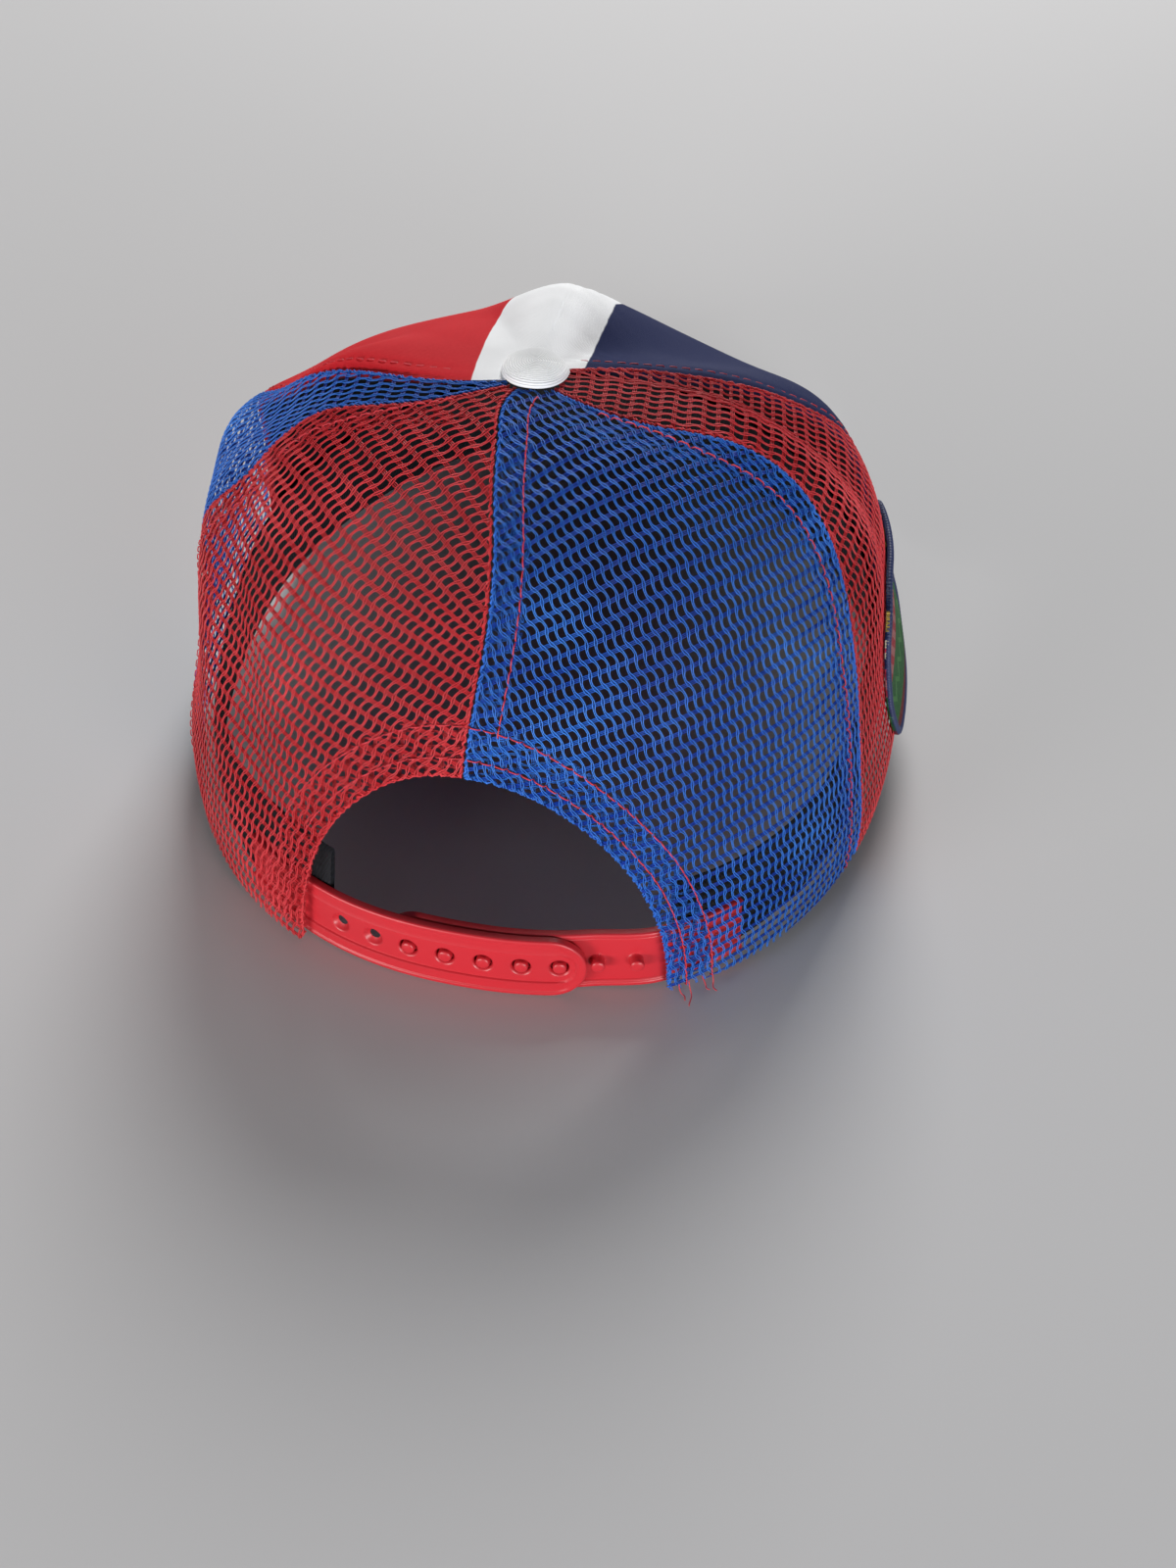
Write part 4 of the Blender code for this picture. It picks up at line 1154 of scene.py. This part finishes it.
# Stitch lines: seam, offset along the level, how far it closes in towards the button, first and last
# share, and depth below the crown
seamLines = (
    ("back", 6.6 * mm, 0, 0.42, 0.955, 0.1 * mm),
    ("rearRight", -6.8 * mm, 0.75, 0.01, 0.9, 0.1 * mm),
    ("rearLeft", 6.8 * mm, 0.75, 0.01, 0.9, 0.1 * mm),
    ("frontRight", foam["stitchLine"], 0, 0.01, 0.955, foam["stitchDip"]),
    ("frontLeft", -foam["stitchLine"], 0, 0.01, 0.955, foam["stitchDip"]),
)
hemLines = (4.5 * mm, 11.2 * mm)  # from the opening's edge
looseEnds = {
    # place along the rim at the foot of the right hem, reach and bend aside, in millimetres
    "ends": ((52.5, 3.2, -0.6), (55, 5.0, 1.6), (58.5, 2.6, -1.0), (61, 3.6, 0.8)),
    "lift": 0.3 * mm,
    "fall": 2.7 * mm,
    "curl": 0.5 * mm,
    "radii": (0.15 * mm, 0.13 * mm),
}
rows = []
for k, (seam, offset, closing, low, high, depth) in enumerate(seamLines):
    shares = np.linspace(low, high, 160)
    offsets = offset * (1 - closing * smoothStep((shares - 0.72) / 0.14))
    rows.append(sewn(seamAzimuth(seam, shares, offsets), shares, depth, seed=k))
for k, side in enumerate((1, -1)):
    for offset in hemLines:
        rows.append(sewn(*openingEdge(side, offset, 1 * mm), 0.1 * mm, seed=20 + k))
for k, (along, reach, sideways) in enumerate(looseEnds["ends"]):
    azimuth = azimuthAt(along * mm)
    start, normal = crown(azimuth, shareAt(azimuth, 3 * mm), 0.1 * mm)
    way = np.linspace(0, 1, 14)[:, None]
    aside = unit(np.cross(normal, (0, 0, 1)))
    fall = np.array([0, 0, looseEnds["fall"]]) * smoothStep(way / 0.6)
    line = start + normal * (reach * mm * way**1.4 + looseEnds["lift"]) - fall
    line = line + aside * (sideways * mm * way**2 + looseEnds["curl"] * np.sin(7 * way + k) * way)
    upright = np.broadcast_to((0.0, 0.0, 1.0), line.shape)
    rows.append((*sweep(line[None], upright[None], *looseEnds["radii"], 5), 1.0))
points, quads, _ = joined(rows)
makePiece("seam_stitches", points, quads, redThread, slot="red_net")
print("seams stitched")

# Snap strap
strap = {
    "width": 18.5 * mm,
    "wall": 2 * mm,
    "tuck": 22 * mm,
    "pitch": 9.5 * mm,
    "count": 7,
    "start": -33 * mm,  # first hole, along the rim from the back centre
    "free": 2,  # holes that hold no peg
    "end": 6.8 * mm,  # from the last hole to the strap's round end
    "cellTall": 8.8 * mm,  # height of the middle stretch that holds the snaps
    "facets": 12,  # along each side of a snap's cell
    "lip": 1.15 * mm,
    "lipRise": 0.34 * mm,
    "lipFade": 0.45 * mm,
    "edgeRound": 0.6 * mm,
    "channelDrop": 0.38 * mm,
    "channelWall": 0.24 * mm,
    "bead": 0.14 * mm,  # along the channel's edge
    "beadWidth": 0.2 * mm,
    "blend": 5,
    # radius and height of the rings around a hole and around a peg
    "holeRings": ((3.1, 0), (2.86, 0), (2.78, -0.04), (2.6, -0.16), (2.42, -0.36), (2.3, -0.62)),
    "pegRings": (
        (3.1, 0), (2.4, 0), (2.08, 0.05), (1.92, 0.25), (1.8, 0.7), (1.74, 1.9), (1.72, 2.2), (1.62, 2.45),
        (1.38, 2.62), (1.0, 2.72), (0.6, 2.76), (0.3, 2.77),
    ),
    "backHole": 0.62,  # radius of a free hole at the back, as a share of that at the front
    "holeReach": 2.35 * mm,  # a little over the innermost ring of a hole
}
strapDepthTop = 2 * crownShape["netWall"] + crownShape["layerGap"] + crownShape["pieceGap"]
strapDepthUnder = strapDepthTop + strap["wall"] + crownShape["pieceGap"]
snaps = strap["start"] + strap["pitch"] * np.arange(strap["count"] + strap["free"])


# Outline, channel and lip of a strap as heights over a place, run from the round end, up from the middle.
def strapRelief(run, up, channel):
    half = strap["width"] / 2
    back = np.maximum(half - run, 0)
    edge = half - np.hypot(back, up)
    centre = channel["end"] + channel["tall"] / 2
    inside = channel["tall"] / 2 - np.hypot(np.maximum(centre - run, 0), up)
    height = -strap["lipRise"] * smoothStep((edge - strap["lip"]) / strap["lipFade"])
    height = height - strap["channelDrop"] * smoothStep(inside / strap["channelWall"])
    height = height + strap["bead"] * hump(inside, strap["beadWidth"])
    return height - strap["edgeRound"] * quarterRound(edge, strap["edgeRound"])


# Flat mesh of a strap: plain strips above and below, and between them a cell of rings around each snap.
def strapPattern(length, snapRuns, rings):
    half, tall, pitch = strap["width"] / 2, strap["cellTall"] / 2, strap["pitch"]
    noseRun = snapRuns[0] - pitch / 2
    nose = half * (1 - np.cos(np.radians(np.arange(3, 36, 4))))
    nose = np.append(nose[nose < noseRun - 0.1 * mm], noseRun)
    side = np.linspace(-1, 1, strap["facets"] + 1)
    cells = (snapRuns[:, None] + side[None] * pitch / 2)[:, 1:].ravel()
    tail = np.linspace(cells[-1], length, 2 + int((length - cells[-1]) / (2 * mm)))[1:]
    runs = np.concatenate([nose, cells, tail])
    top = np.where(runs < half, np.sqrt(np.maximum(half**2 - (half - runs) ** 2, 0)), half)
    low = np.where(runs < noseRun, tall * top / top[len(nose) - 1], tall)
    # closer together at both channels' walls, at the lip and at the rounded edge
    edge = np.array([
        0, 0.03, 0.045, 0.06, 0.08, 0.10, 0.22, 0.40, 0.56, 0.63, 0.65, 0.67, 0.69, 0.72, 0.75, 0.78, 0.81,
        0.87, 0.92, 0.955, 0.98, 1,
    ])
    upper = low[:, None] + (top - low)[:, None] * edge[None]
    grids = [(runs, upper), (runs, -upper[:, ::-1])]
    first, last = len(nose), len(nose) + len(cells)
    grids += [(nose, low[:first, None] * side[None]), (runs[last - 1:], low[last - 1:, None] * side[None])]
    points, quads, lift, start = [], [], [], 0
    for run, up in grids:
        grid = np.arange(up.size).reshape(up.shape) + start
        points.append(np.stack([np.broadcast_to(run[:, None], up.shape), up], -1).reshape(-1, 2))
        quads.append(gridQuads(grid))
        lift.append(np.zeros(up.size))
        start += up.size
    along, ones = side[:-1], np.ones(strap["facets"])
    sides = ((along, -ones), (ones, along), (-along, ones), (-ones, -along))
    square = np.concatenate([np.stack(one, 1) for one in sides]) * (pitch / 2, tall)
    circle = unit(square)
    ringPoints = [
        square * w + circle * rings[0][0] * mm * (1 - w) for w in np.linspace(1, 0, strap["blend"] + 1)[:-1]
    ] + [circle * radius * mm for radius, _ in rings]
    ringLift = [0.0] * strap["blend"] + [height * mm for _, height in rings]
    pattern = np.array(ringPoints).transpose(1, 0, 2)
    for run in snapRuns:
        grid = np.arange(pattern.shape[0] * pattern.shape[1]).reshape(pattern.shape[:2]) + start
        points.append((pattern + (run, 0)).reshape(-1, 2))
        quads.append(gridQuads(np.concatenate([grid, grid[:1]])))
        lift.append(np.tile(ringLift, len(pattern)))
        if rings[-1][0] < 1:
            quads.append(ringCap(grid[:, -1][None]))
        start += grid.size
    points, quads, lift = np.concatenate(points), np.concatenate(quads), np.concatenate(lift)
    # points of neighbouring grids at one place become one
    places = np.round(points / (0.0001 * mm))
    _, kept, packed = np.unique(places, axis=0, return_index=True, return_inverse=True)
    return points[kept], packed.ravel()[quads], lift[kept]


# Depth of a strap's face: the under strap lies below the outer one, and rises past that one's end.
def strapDepth(along, under):
    if not under:
        return np.full(np.shape(along), strapDepthTop)
    start = snaps[strap["count"] - 1] + strap["end"] + crownShape["pieceGap"]
    rise = smoothStep((along - start) / (opening["right"] - start))
    return strapDepthUnder + (strapDepthTop - strapDepthUnder) * rise


plastic = strapPlastic("strapPlastic")
straps = {
    "strap_outer": {
        "tip": snaps[strap["count"] - 1] + strap["end"], "root": -opening["left"] - strap["tuck"],
        "snaps": snaps[: strap["count"]], "rings": strap["holeRings"], "under": False,
        "channel": {"end": 2.6 * mm, "tall": 9.7 * mm}, "node": "strap_with_holes",
    },
    "strap_under": {
        "tip": snaps[strap["free"]] - strap["end"], "root": opening["right"] + strap["tuck"],
        "snaps": snaps[strap["free"]:], "rings": strap["pegRings"], "under": True,
        "channel": {"end": 2.0 * mm, "tall": 15 * mm}, "node": "strap_with_pegs",
    },
}
for name, one in straps.items():
    way = math.copysign(1, one["root"] - one["tip"])
    runs = np.sort(np.abs(one["snaps"] - one["tip"]))
    flat, quads, lift = strapPattern(abs(one["root"] - one["tip"]), runs, one["rings"])
    quads = quads if way > 0 else quads[:, ::-1]
    along = one["tip"] + way * flat[:, 0]
    azimuth = azimuthAt(along)
    share = shareAt(azimuth, crownShape["edgeGap"] + strap["width"] / 2 + flat[:, 1])
    face = strapDepth(along, one["under"])
    outer, _ = crown(azimuth, share, face - strapRelief(flat[:, 0], flat[:, 1], one["channel"]) - lift)
    freeRuns = np.abs(snaps[: strap["free"]] - one["tip"])
    toHole = flat[None] - np.stack([freeRuns, 0 * freeRuns], -1)[:, None]
    nearest = np.linalg.norm(toHole, axis=-1)
    pull = (1 - strap["backHole"]) * (nearest < strap["holeReach"]) * (not one["under"])
    back = flat - (toHole * pull[..., None]).sum(axis=0)
    azimuth = azimuthAt(one["tip"] + way * back[:, 0])
    share = shareAt(azimuth, crownShape["edgeGap"] + strap["width"] / 2 + back[:, 1])
    inner, _ = crown(azimuth, share, face + strap["wall"])
    points, quads = closedWall(outer, inner, quads)
    cloth = np.tile(np.stack([along, flat[:, 1]], -1), (2, 1))
    makePiece(name, points, quads, plastic, uv=cloth, replaced=[one["node"]], slot="red_plastic", sharp=42)
print("straps made")

# Sweatband
band = {
    "height": 30 * mm,
    "wall": 1.5 * mm,
    "inset": 4 * mm,  # from the opening's right edge to the end of the band
    "overhang": 5 * mm,  # how far the band's other end shows past the left edge
    "columns": 260,
    "rows": 20,
    "edge": 2.2 * mm,
    "edgeThinning": 0.42,  # share of the wall taken off each face at the edge
    "clearance": 0.2 * mm,
    "ripple": 0.22 * mm,
    "rippleLengths": (9 * mm, 37 * mm, 12 * mm),
}
bandStart = float(azimuthAt(opening["right"] + band["inset"]))
bandEnd = 360 + float(azimuthAt(band["overhang"] - opening["left"]))
azimuth = np.linspace(bandStart, bandEnd, band["columns"])[:, None]
climb = band["height"] * closerEnds(band["rows"])[None]
height = rimHeight(azimuth) + crownShape["edgeGap"] + climb
share = shareAt(wrapped(azimuth), height)
backDepth = strapDepthTop + strap["wall"] + crownShape["pieceGap"]
frontDepth = crownShape["foamWall"] + crownShape["layerGap"]
depth = backDepth + (frontDepth - backDepth) * smoothStep((100 - fromFront(azimuth)) / 40)
bandLength = lengthsOf(crown(azimuth, share)[0])
near = np.minimum(climb, band["height"] - climb)
thin = band["edgeThinning"] * band["wall"] * quarterRound(near, band["edge"])
fine, slow, rising = band["rippleLengths"]
wave = np.sin(bandLength / fine + np.sin(bandLength / slow) * 2)
ripple = band["ripple"] * wave * np.sin(climb / rising)
outer, _ = crown(azimuth, share, depth + thin + band["clearance"])
inner, _ = crown(azimuth, share, depth + band["wall"] - thin + ripple)
sweatBand = makeWall(
    "sweat_band", outer, inner, (bandLength, climb), twill("bandTwill", colours["band"]),
    replaced=["sweatband"], slot="black_cloth",
)
print("sweatband made")

# Visor
visorLook = {
    "columns": 161,
    "rows": 70,
    "rowSpace": 6.3 * mm,  # between two rows of stitching
    "rowCount": 7,
    "rowFade": 0.2,  # share of a row in which the relief begins and ends
    "groove": 0.28 * mm,
    "grooveWidth": 0.8 * mm,
    "fullness": 0.25 * mm,  # how far the cloth rises between two rows
    "edgeFade": 2 * mm,
    "rounding": 0.96,  # of the rounded edge, as a share of half the wall
    "crowding": 1.35,  # how much closer the grid's rows lie towards the edge
    "threadRadius": 0.17 * mm,
}
turn = np.linspace(-1, 1, visorLook["columns"])
azimuth = 180 + turn * crownShape["frontReach"]
base = rimHeight(azimuth)
innerLow, _ = crown(azimuth, shareAt(wrapped(azimuth), base), -crownShape["pieceGap"])
innerHigh, _ = crown(azimuth, shareAt(wrapped(azimuth), base + visor["wall"]), -crownShape["pieceGap"])
innerLow[:, 2], innerHigh[:, 2] = base, base + visor["wall"]
edgeLow = visorEdge(turn)
edgeHigh = edgeLow + (0, 0, visor["wall"])
way = 1 - (1 - np.linspace(0, 1, visorLook["rows"])) ** visorLook["crowding"]
way = way[None, :, None]
low = innerLow[:, None] * (1 - way) + edgeLow[:, None] * way
high = innerHigh[:, None] * (1 - way) + edgeHigh[:, None] * way
gaps = np.linalg.norm(low[:, :, None, :2] - edgeLow[None, None, ::2, :2], axis=-1)
toEdge = gaps.min(axis=-1)
nose = visor["wall"] / 2
roundOff = nose * quarterRound(toEdge, nose)
place = (toEdge - 0.5 * visorLook["rowSpace"]) / visorLook["rowSpace"]
onRows = smoothStep((visorLook["rowCount"] - 0.6 - place) / visorLook["rowFade"])
onRows = onRows * smoothStep((place + 0.5) / visorLook["rowFade"])
toRow = ((place + 0.5) % 1 - 0.5) * visorLook["rowSpace"]
groove = visorLook["groove"] * hump(toRow, visorLook["grooveWidth"])
sunk = onRows * (groove + visorLook["fullness"] * (1 + np.cos(2 * np.pi * place)) / 2)
sunk = sunk * smoothStep(toEdge / visorLook["edgeFade"]) + roundOff * visorLook["rounding"]
high = high - (0, 0, 1) * sunk[..., None]
low = low + (0, 0, 1) * sunk[..., None]
makeWall(
    "visor_cover", low, high, (low[..., 0], low[..., 1]), twill("visorTwill", colours["navyCloth"]),
    replaced=["visor"], slot="navy_cloth",
)


# Grid's points along the line where a value on the grid reaches a level, one for each column that has it.
def levelLine(grid, normals, values, level):
    line, aims = [], []
    for column in range(len(grid)):
        if values[column].max() > level + 1.5 * mm:
            order = values[column][::-1]
            spot = np.interp(level, order, np.arange(len(order))[::-1])
            k, part = int(spot), spot - int(spot)
            k = min(k, len(order) - 2)
            line.append(grid[column, k] * (1 - part) + grid[column, k + 1] * part)
            aims.append(normals[column, k])
    return np.array(line), np.array(aims)


up = unit(np.cross(np.gradient(high, axis=1), np.gradient(high, axis=0)))
up = up * np.sign(up[..., 2:])
rows = []
for k in range(visorLook["rowCount"]):
    level = (k + 0.5) * visorLook["rowSpace"]
    for surface, sign in ((high, 1), (low, -1)):
        line, aims = levelLine(surface, up * sign, toEdge, level)
        if len(line) > 12:
            rows.append(sewnAlong(line, aims, seed=40 + k, radius=visorLook["threadRadius"], sides=4))
points, quads, _ = joined(rows)
makePiece("visor_stitches", points, quads, navyThread, slot="navy_cloth")
print("visor made")

# Button
button = {
    "radius": 7.4 * mm,
    "dome": 2.2 * mm,
    "edge": 0.7 * mm,
    "forward": 2 * mm,  # from the point where the seams meet to the button's middle
    "bulge": 0.25 * mm,
    "columns": 96,
    "rows": 40,
    "skirtRows": 4,
    "underRings": (0.2, 0.5),  # as shares of the way from the middle to the rim
    "domeTurn": 88,  # degrees from the edge up to the last ring
    "domePower": 0.9,
}
turn = np.linspace(-math.pi, math.pi, button["columns"], endpoint=False)
x, y = -button["radius"] * np.sin(turn), button["radius"] * np.cos(turn) - button["forward"]
azimuth, reach = np.degrees(np.arctan2(-x, y)), np.hypot(x, y)
shares = np.linspace(0.8, 1, 81)
radii = levelRadius(azimuth[:, None], shares[None])
share = np.array([np.interp(-r, -row, shares) for r, row in zip(reach, radii)])
rim, _ = crown(azimuth, share, -crownShape["pieceGap"])
pole, _ = crown(0.0, 1.0, -crownShape["pieceGap"])
axis = unit(np.cross(np.roll(rim, -1, axis=0) - rim, pole - rim).sum(axis=0))
middle = rim.mean(axis=0)
spokes = rim - middle
lift = (spokes @ axis)[:, None]
spokes = unit(spokes - lift * axis)
angle = np.linspace(0, math.radians(button["domeTurn"]), button["rows"])
raised = button["edge"] + lift * np.cos(angle) + button["dome"] * np.sin(angle) ** button["domePower"]
dome = middle + spokes[:, None] * (button["radius"] * np.cos(angle))[:, None] + axis * raised[..., None]
way = np.linspace(0, 1, button["skirtRows"], endpoint=False)[:, None]
bulge = button["bulge"] * np.sin(np.pi * way)
skirt = rim[:, None] * (1 - way) + dome[:, :1] * way + spokes[:, None] * bulge
under = middle + (rim - middle)[:, None] * np.array(button["underRings"])[:, None]
rings = np.concatenate([under, skirt, dome], axis=1)
index = np.arange(rings.shape[0] * rings.shape[1]).reshape(rings.shape[:2])
quads = np.concatenate([
    gridQuads(np.concatenate([index, index[:1]])), ringCap(index[:, -1][None]), ringCap(index[::-1, 0][None]),
])
around = np.broadcast_to(turn[:, None] * button["radius"], rings.shape[:2])
cloth = np.stack([around, lengthsOf(rings[:, ::-1], axis=1)[:, ::-1]], -1)
makePiece(
    "button_cover", rings.reshape(-1, 3), quads, buttonKnit("buttonKnit"), uv=cloth.reshape(-1, 2),
    replaced=["top_button"], slot="white_knit",
)
print("button made")

# Patch
patch = {
    "azimuth": 100,
    "width": 50 * mm,
    "height": 54 * mm,
    "rise": 9.5 * mm,
    "cloth": 0.86 * mm,
    "roundness": 4,
    "columns": 90,
    "rows": 110,
    "endShare": 0.998,  # of the half height, at the first and last row
    "relief": 0.06 * mm,  # of the embroidery's threads
    "threadPitch": 0.84 * mm,
    "threadLength": 5.3 * mm,
    "threadDrift": 4 * mm,
    "border": (1.04 * mm, 0.806 * mm),  # half width and half depth
    "borderInset": 0.9 * mm,
    "borderLift": 0.62 * mm,
    "borderPoints": 1100,
    "borderSides": 10,
    "wrapPitch": 0.95 * mm,
    "wrapRelief": 0.085,  # as a share of the border's size
}


# A place of the patch, in its own width and height from its middle, on the crown at a height over it.
def onPatch(x, y, over):
    azimuth = azimuthAt(lengthAt(patch["azimuth"]) + x)
    share = shareAt(azimuth, rimHeight(azimuth) + patch["rise"] + patch["height"] / 2 + y)
    return crown(azimuth, share, -crownShape["pieceGap"] - over)


y = patch["height"] / 2 * np.sin(np.linspace(-1, 1, patch["rows"]) * math.pi / 2)[None] * patch["endShare"]
power = patch["roundness"]
half = patch["width"] / 2 * (1 - np.abs(2 * y / patch["height"]) ** power) ** (1 / power)
x = half * closerEnds(patch["columns"], 0.4)[:, None] * 2 - half
y = y + 0 * x
bend = 2 * np.sin(y / patch["threadDrift"])
thread = np.sin(2 * np.pi * y / patch["threadPitch"]) * np.sin(2 * np.pi * x / patch["threadLength"] + bend)
outer, _ = onPatch(x, y, patch["cloth"] + patch["relief"] * thread)
inner, _ = onPatch(x, y, 0.0)
makeWall(
    "patch_badge", outer, inner, (x, y), patchThread("patchThread"),
    replaced=["side_patch"], slot="patch_thread",
)
angle = np.linspace(0, 2 * np.pi, 241)
rimX = (patch["width"] / 2 - patch["borderInset"]) * signedPower(np.cos(angle), 2 / power)
rimY = (patch["height"] / 2 - patch["borderInset"]) * signedPower(np.sin(angle), 2 / power)
line, normals = onPatch(rimX, rimY, patch["borderLift"])
line, normals, spots = evenLine(line, normals, patch["borderPoints"])
wraps = round(spots[-1] / patch["wrapPitch"])
swell = 1 + patch["wrapRelief"] * np.sin(2 * np.pi * wraps * spots[:-1] / spots[-1])
wide, deep = (half * swell for half in patch["border"])
points, quads = sweep(line[None, :-1], normals[None, :-1], wide, deep, patch["borderSides"])
ring = np.arange(len(points)).reshape(-1, patch["borderSides"])
seam = np.stack([ring[-1], np.roll(ring[-1], -1), np.roll(ring[0], -1), ring[0]], 1)
body = quads[: (len(ring) - 1) * patch["borderSides"]]
makePiece("patch_border", points, np.concatenate([body, seam]), navyThread, slot="patch_thread")
print("patch made")

# Camera at the photograph's angle
view = {
    "target": (-19.65 * mm, 44 * mm, 21.8 * mm),
    "azimuth": 192.4,
    "elevation": 49.4,
    "roll": -0.4,
    "distance": 509.5 * mm,
    "focalPixels": 2147,
    "longSide": 1600,
}
turn, rise = math.radians(view["azimuth"]), math.radians(view["elevation"])
backwards = Vector((math.sin(turn) * math.cos(rise), -math.cos(turn) * math.cos(rise), math.sin(rise)))
camera = bpy.data.objects.new("camera", bpy.data.cameras.new("camera"))
camera.data.sensor_width = 36
camera.data.lens = 36 * view["focalPixels"] / view["longSide"]
camera.data.clip_start, camera.data.clip_end = 0.01, 20
camera.location = settled(np.array(view["target"]) + np.array(backwards) * view["distance"])
camera.rotation_mode = "QUATERNION"
aimed = backwards.to_track_quat("Z", "Y") @ Quaternion((0, 0, 1), math.radians(view["roll"]))
camera.rotation_quaternion = Quaternion((1, 0, 0), -lean) @ aimed
bpy.context.scene.collection.objects.link(camera)
bpy.context.scene.camera = camera

# Floor and light
floorFinish = Finish("floorPaper", Roughness=0.9, Specular_IOR_Level=0.2)
grey = floorFinish.mix(floorFinish.noise(3, 2) * 0.2, (0.53, 0.53, 0.54), (0.49, 0.49, 0.50))
floorFinish.wear(Base_Color=grey)
floorMesh = bpy.data.meshes.new("floor")
reach = 3.0
corners = [(-reach, -reach, 0), (reach, -reach, 0), (reach, reach, 0), (-reach, reach, 0)]
floorMesh.from_pydata(corners, [], [(0, 1, 2, 3)])
floorMesh.materials.append(floorFinish.material)
floor = bpy.data.objects.new("floor", floorMesh)
floor.location.z = -0.1 * mm
bpy.context.scene.collection.objects.link(floor)
floor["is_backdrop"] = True

lamps = {
    # place in metres, size, watts, colour
    "front": ((0.05, -1.30, 1.22), (0.8, 0.8), 30, (1.0, 0.99, 0.97)),
    "rearLeft": ((0.75, 1.2, 0.17), (0.8, 0.24), 15, (1.0, 0.98, 0.96)),
    "rearRight": ((-0.85, 1.15, 0.17), (0.8, 0.24), 15, (0.97, 0.985, 1.0)),
    "overhead": ((0.0, -0.45, 1.6), (0.9, 0.9), 3, (1.0, 1.0, 1.0)),
}
for name, (place, size, watts, colour) in lamps.items():
    lamp = bpy.data.lights.new(name, "AREA")
    lamp.shape, lamp.size, lamp.size_y = "ELLIPSE", *size
    lamp.energy, lamp.color = watts, colour
    holder = bpy.data.objects.new(name, lamp)
    holder.location = place
    holder.rotation_mode = "QUATERNION"
    holder.rotation_quaternion = (Vector((0, 0.03, 0.05)) - Vector(place)).to_track_quat("-Z", "Y")
    bpy.context.scene.collection.objects.link(holder)
world = bpy.data.worlds.new("studio")
world.use_nodes = True
world.node_tree.nodes["Background"].inputs["Color"].default_value = (0.93, 0.95, 1.0, 1)
world.node_tree.nodes["Background"].inputs["Strength"].default_value = 0.05
bpy.context.scene.world = world
bpy.context.scene.view_settings.view_transform = "Standard"

low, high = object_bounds()
